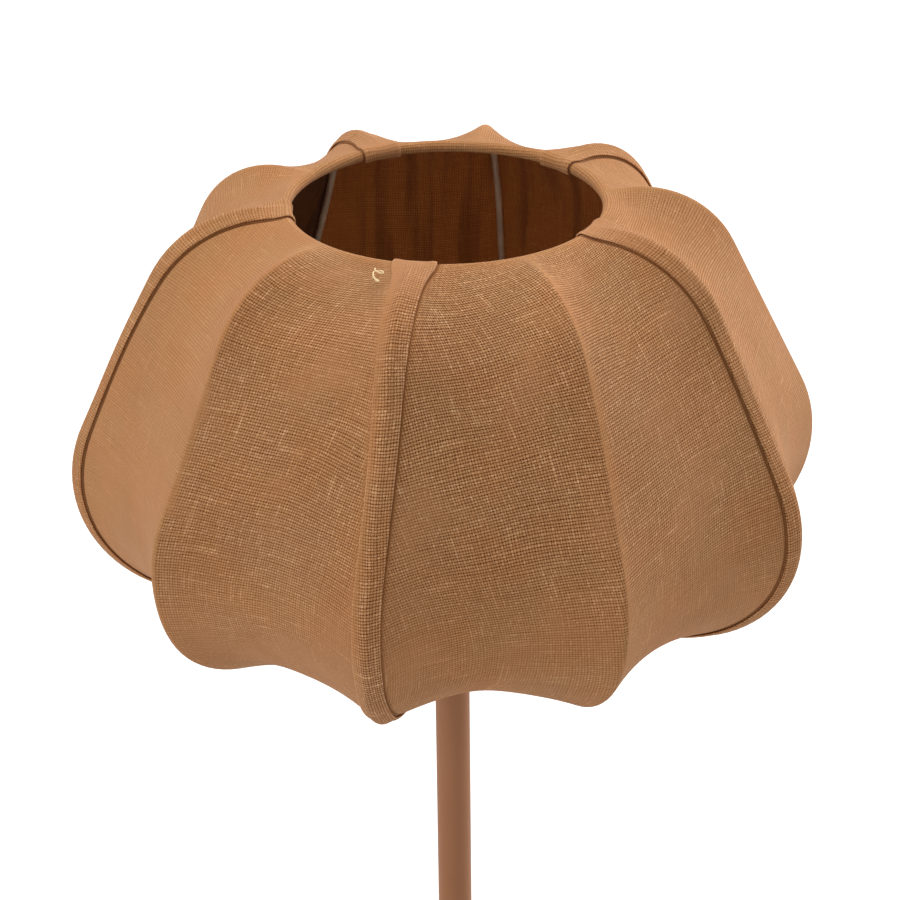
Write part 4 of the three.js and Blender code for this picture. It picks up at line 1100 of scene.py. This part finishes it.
BLACK = plain_finish("black_moulding", paint(46, 44, 42), 0.48, grain=700, depth=0.00005, shift=0.85)
holder_outer, cap_low, cap_high = span("holder_cap")
_, skirt_low, skirt_high = span("holder_skirt")
SCREW_RADIUS, SKIRT_BORE = 19.2, 15.2
SHOULDER_OUTER, SHOULDER_THICK = holder_outer + 4.5, 2.5
SHOULDER_TOP = fitter_low - 0.3
SWITCH_LEVEL = cap_low + 15
SWITCH_BORE = 3.1


def bored(piece):
    """Cuts the switch bar's round passage across a piece."""
    return drilled(piece, lying([(SWITCH_BORE, -60), (SWITCH_BORE, 60)], SWITCH_LEVEL, 32))


def grip(count, depth, low, high):
    """A ripple of upright grip ribs between two levels, on the outer wall only."""
    def ripple(angles, radius, height):
        wave = np.clip(1.6 * np.cos(count * angles), -1, 1) * 0.5 - 0.5
        return radius + np.where(radius > holder_outer - 0.5, depth * wave * within(height, low, high, 1.5), 0)
    return ripple


def holder_parts():
    wall = ladder(holder_outer, cap_low + 11, cap_high - 0.4, 0.8)
    inner = holder_outer - 2
    seat = inner - 4.5
    rows = [(ROD_PASSAGE, cap_low), (9.6, cap_low), (10.4, cap_low + 0.15)]
    dome = outline([(9.6, cap_low), (holder_outer, cap_low + 3, 6), (holder_outer, cap_low + 11)], 8)
    rows += [tuple(p) for p in dome[1:-1]] + wall
    rows += [(holder_outer - 0.4, cap_high), (inner, cap_high), (inner, cap_low + 9), (seat, cap_low + 9),
             (seat, cap_low + 3), (ROD_PASSAGE, cap_low + 3)]
    ribs = grip(32, 0.5, cap_low + 12, cap_high - 1)
    cap = bored(turned("holder_cup", [], steps=192, rows=rows, ripple=ribs))
    shoulder_low = SHOULDER_TOP - SHOULDER_THICK
    rows = [(inner, skirt_low), (holder_outer - 0.3, skirt_low), (holder_outer, skirt_low + 0.3),
            (holder_outer, shoulder_low), (SHOULDER_OUTER - 0.5, shoulder_low),
            (SHOULDER_OUTER, shoulder_low + 0.5), (SHOULDER_OUTER, SHOULDER_TOP - 0.5),
            (SHOULDER_OUTER - 0.5, SHOULDER_TOP), (SCREW_RADIUS, SHOULDER_TOP)]
    rows += ladder(SCREW_RADIUS, SHOULDER_TOP + 0.3, skirt_high - 0.6, 0.3)
    rows += [(SCREW_RADIUS - 0.6, skirt_high), (SKIRT_BORE + 0.3, skirt_high), (SKIRT_BORE, skirt_high - 0.3),
             (SKIRT_BORE, skirt_low + 2.6), (inner, skirt_low + 2.6)]
    thread = screw(2.5, 0.7, SHOULDER_TOP + 0.5, skirt_high - 0.5, SCREW_RADIUS - 0.1)
    skirt = turned("holder_barrel", [], steps=144, rows=rows, ripple=thread)
    return cap, skirt


cup, barrel = holder_parts()
dress(cup, BLACK, "stand", "holder_plastic", "holder_cap")
dress(barrel, BLACK, "stand", "holder_plastic", "holder_skirt")
print("lampholder from", round(cap_low, 1), "to", round(skirt_high, 1), "mm")

# %% [markdown]
# The switch bar slides through the cap, so its ends are domed and it has no neck to catch. The ring nut
# has eight grip lugs, and clamps the shade's fitter ring through a loose steel washer.

# %% Switch bar, washer and ring nut


def switch_bar():
    """The bar's ends taper to a tiny flat face, because a ring of points can't close on its axis."""
    low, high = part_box("switch_bar")
    start, end, radius = low.x / MM, high.x / MM, (high.z - low.z) / 2 / MM
    domed = outline([(0, start), (radius, start, 1.6), (radius, end, 1.6), (0, end)], 6)[1:-1]
    section = [(0.05, start), *domed, (0.05, end)]
    return add_mesh("switch_rod", np.concatenate(lying(section, SWITCH_LEVEL, 40)), bar_faces(len(section), 40))


def lugged(angles, radius, height):
    """A ripple of eight lugs on the outer wall, which stand out a little less at their top."""
    lug = np.clip(1.9 * np.cos(8 * angles + math.pi), -1, 1) * 0.5 + 0.5
    top_share = 1 - smooth(height, ring_high - 1.2, ring_high) * 0.25
    return np.where(radius > nut_bore + 1, radius + 2.5 * lug * top_share, radius)


ZINC = plain_finish("zinc_plate", paint(196, 196, 190), 0.34, 0.9, grain=1200, depth=0.00003, shift=0.88)
ring_outer, ring_low, ring_high = span("ring_nut")
nut_bore, nut_wall = SCREW_RADIUS + 0.5, SCREW_RADIUS + 5
nut_size = nut_wall, ring_low, ring_high
ring = sleeve("clamp_ring", nut_bore, nut_size, (0.4, 0.8, 0.8, 0.4), steps=240, ripple=lugged)
dress(ring, BLACK, "ring_nut", "holder_plastic", "ring_nut")
washer = sleeve("clamp_washer", FITTER_BORE, span("nut_washer"), 0.2, arc_steps=2)
dress(washer, ZINC, "nut_washer", "zinc", "nut_washer")
dress(switch_bar(), BLACK, "switch_bar", "holder_plastic", "switch_bar")
print("the ring nut is", round(2 * ring_outer), "mm across its lugs")

# %% [markdown]
# ## The light source
# A plain screw-in lamp with a frosted dome. The cap's rolled thread shows inside and out, the housing is
# satin white with cooling ribs, and the dome lets a little light into itself, so it has some subsurface.

# %% Light source
CAP_WALL, SPIGOT = 0.7, 11.4
CAP_PITCH = 3.629
NECK, NECK_BORE = 13.1, 10.3
cap_outer, screw_low, screw_high = span("bulb_cap")
housing_outer, housing_low, housing_high = span("bulb_housing")
dome_outer, dome_low, dome_high = span("bulb_diffuser")
board_outer, board_low, _ = span("bulb_board")
insulator_top = span("bulb_insulator")[2]


def screw_cap():
    rows = ladder(cap_outer, screw_low, screw_high, 0.35)
    rows += ladder(cap_outer - CAP_WALL, screw_high, screw_low, 0.35)
    thread = screw(CAP_PITCH, 0.55, max(screw_low + 1, insulator_top), screw_high - 2)
    return turned("screw_shell", [], steps=120, rows=rows, ripple=thread)


def housing():
    foot, seat, ledge = screw_high + 0.3, board_outer + 0.3, board_low - 0.3
    neck_top = foot + 6
    flare = outline([(SPIGOT, foot), (NECK, foot, 0.3), (NECK, neck_top, 12),
                     (housing_outer, housing_high, 0.4), (seat, housing_high, 0.3)], 7)
    rows = [(SPIGOT, housing_low)] + [tuple(p) for p in flare]
    rows += [(seat, ledge), (seat - 2, ledge), (NECK_BORE, neck_top), (NECK_BORE, housing_low)]
    dense = []
    for (r0, z0), (r1, z1) in zip(rows, rows[1:] + rows[:1]):
        pieces = max(1, round(math.hypot(r1 - r0, z1 - z0) / 1.5))
        dense += [(r0 + (r1 - r0) * n / pieces, z0 + (z1 - z0) * n / pieces) for n in range(pieces)]

    def cooling(angles, radius, height):
        line = NECK - 0.5 + (dome_outer - 14) * smooth(height, neck_top - 4, housing_high)
        fade = 1 - smooth(height, housing_high - 9, housing_high - 5)
        wave = np.clip(2.2 * np.cos(24 * angles) - 1.4, -1, 0) * smooth(height, neck_top - 2, neck_top + 4)
        return radius + np.where(radius > line - 2.2, 0.45 * wave * fade, 0)

    return turned("lamp_housing", [], steps=240, rows=dense, ripple=cooling)


def dome(wall=1):
    centre, nearly_upright = dome_high - dome_outer, 1.56
    rows = [(dome_outer - wall, dome_low), (dome_outer - 0.2, dome_low), (dome_outer, dome_low + 0.2)]
    for size, start, end in ((dome_outer, 0, nearly_upright), (dome_outer - wall, nearly_upright, 0)):
        rows += [(size * math.cos(a), centre + size * math.sin(a)) for a in np.linspace(start, end, 20)]
    return turned("frosted_dome", [], rows=rows)


OPAL = plain_finish("opal_plastic", paint(246, 243, 236), 0.38, grain=900, depth=0.00002, shift=0.98,
                    Subsurface_Weight=0.3, Subsurface_Radius=(1, 1, 1), Subsurface_Scale=0.0006,
                    Coat_Weight=0.2, Coat_Roughness=0.25)
WHITE = plain_finish("white_moulding", paint(236, 233, 226), 0.42, grain=600, depth=0.00004, shift=0.96)
BRASS = plain_finish("brass", paint(201, 168, 96), 0.3, 1.0, grain=500, depth=0.00003, shift=0.88)
dress(screw_cap(), ZINC, "bulb", "zinc", "bulb_cap")
dress(housing(), WHITE, "bulb", "white_plastic", "bulb_housing")
dress(dome(), OPAL, "bulb", "opal", "bulb_diffuser")
tip = sleeve("solder_tip", 0.3, span("bulb_tip"), (0.1, 1, 0.3, 0))
dress(tip, BRASS, "bulb_tip", "brass", "bulb_tip")
print("the light source reaches up to", round(dome_high, 1), "mm")

# %% [markdown]
# ## What stays hidden
# The rod, its nuts, the iron weight and the contacts are inside other parts. Their CAD shapes are right as
# they are, so they only get a real finish.

# %% Finishes for the hidden parts
IRON = plain_finish("cast_iron", paint(72, 70, 68), 0.78, 0.55, grain=260, depth=0.0005, shift=0.7)
CERAMIC = plain_finish("ceramic", paint(226, 221, 208), 0.45, grain=500, depth=0.00004, shift=0.93)
BOARD = plain_finish("white_board", paint(230, 230, 224), 0.4, grain=900, depth=0.00002, shift=0.95)
HIDDEN = {"base_weight": IRON, "base_washer": ZINC, "base_nut": ZINC, "threaded_rod": ZINC, "rod_nut": ZINC,
          "holder_insert": CERAMIC, "centre_contact": BRASS, "shell_contact": BRASS,
          "bulb_insulator": BLACK, "bulb_board": BOARD}
for node, finish in HIDDEN.items():
    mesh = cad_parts[node].data
    mesh.materials.clear()
    mesh.materials.append(finish.material)
print(len(HIDDEN), "CAD parts keep their own shape")
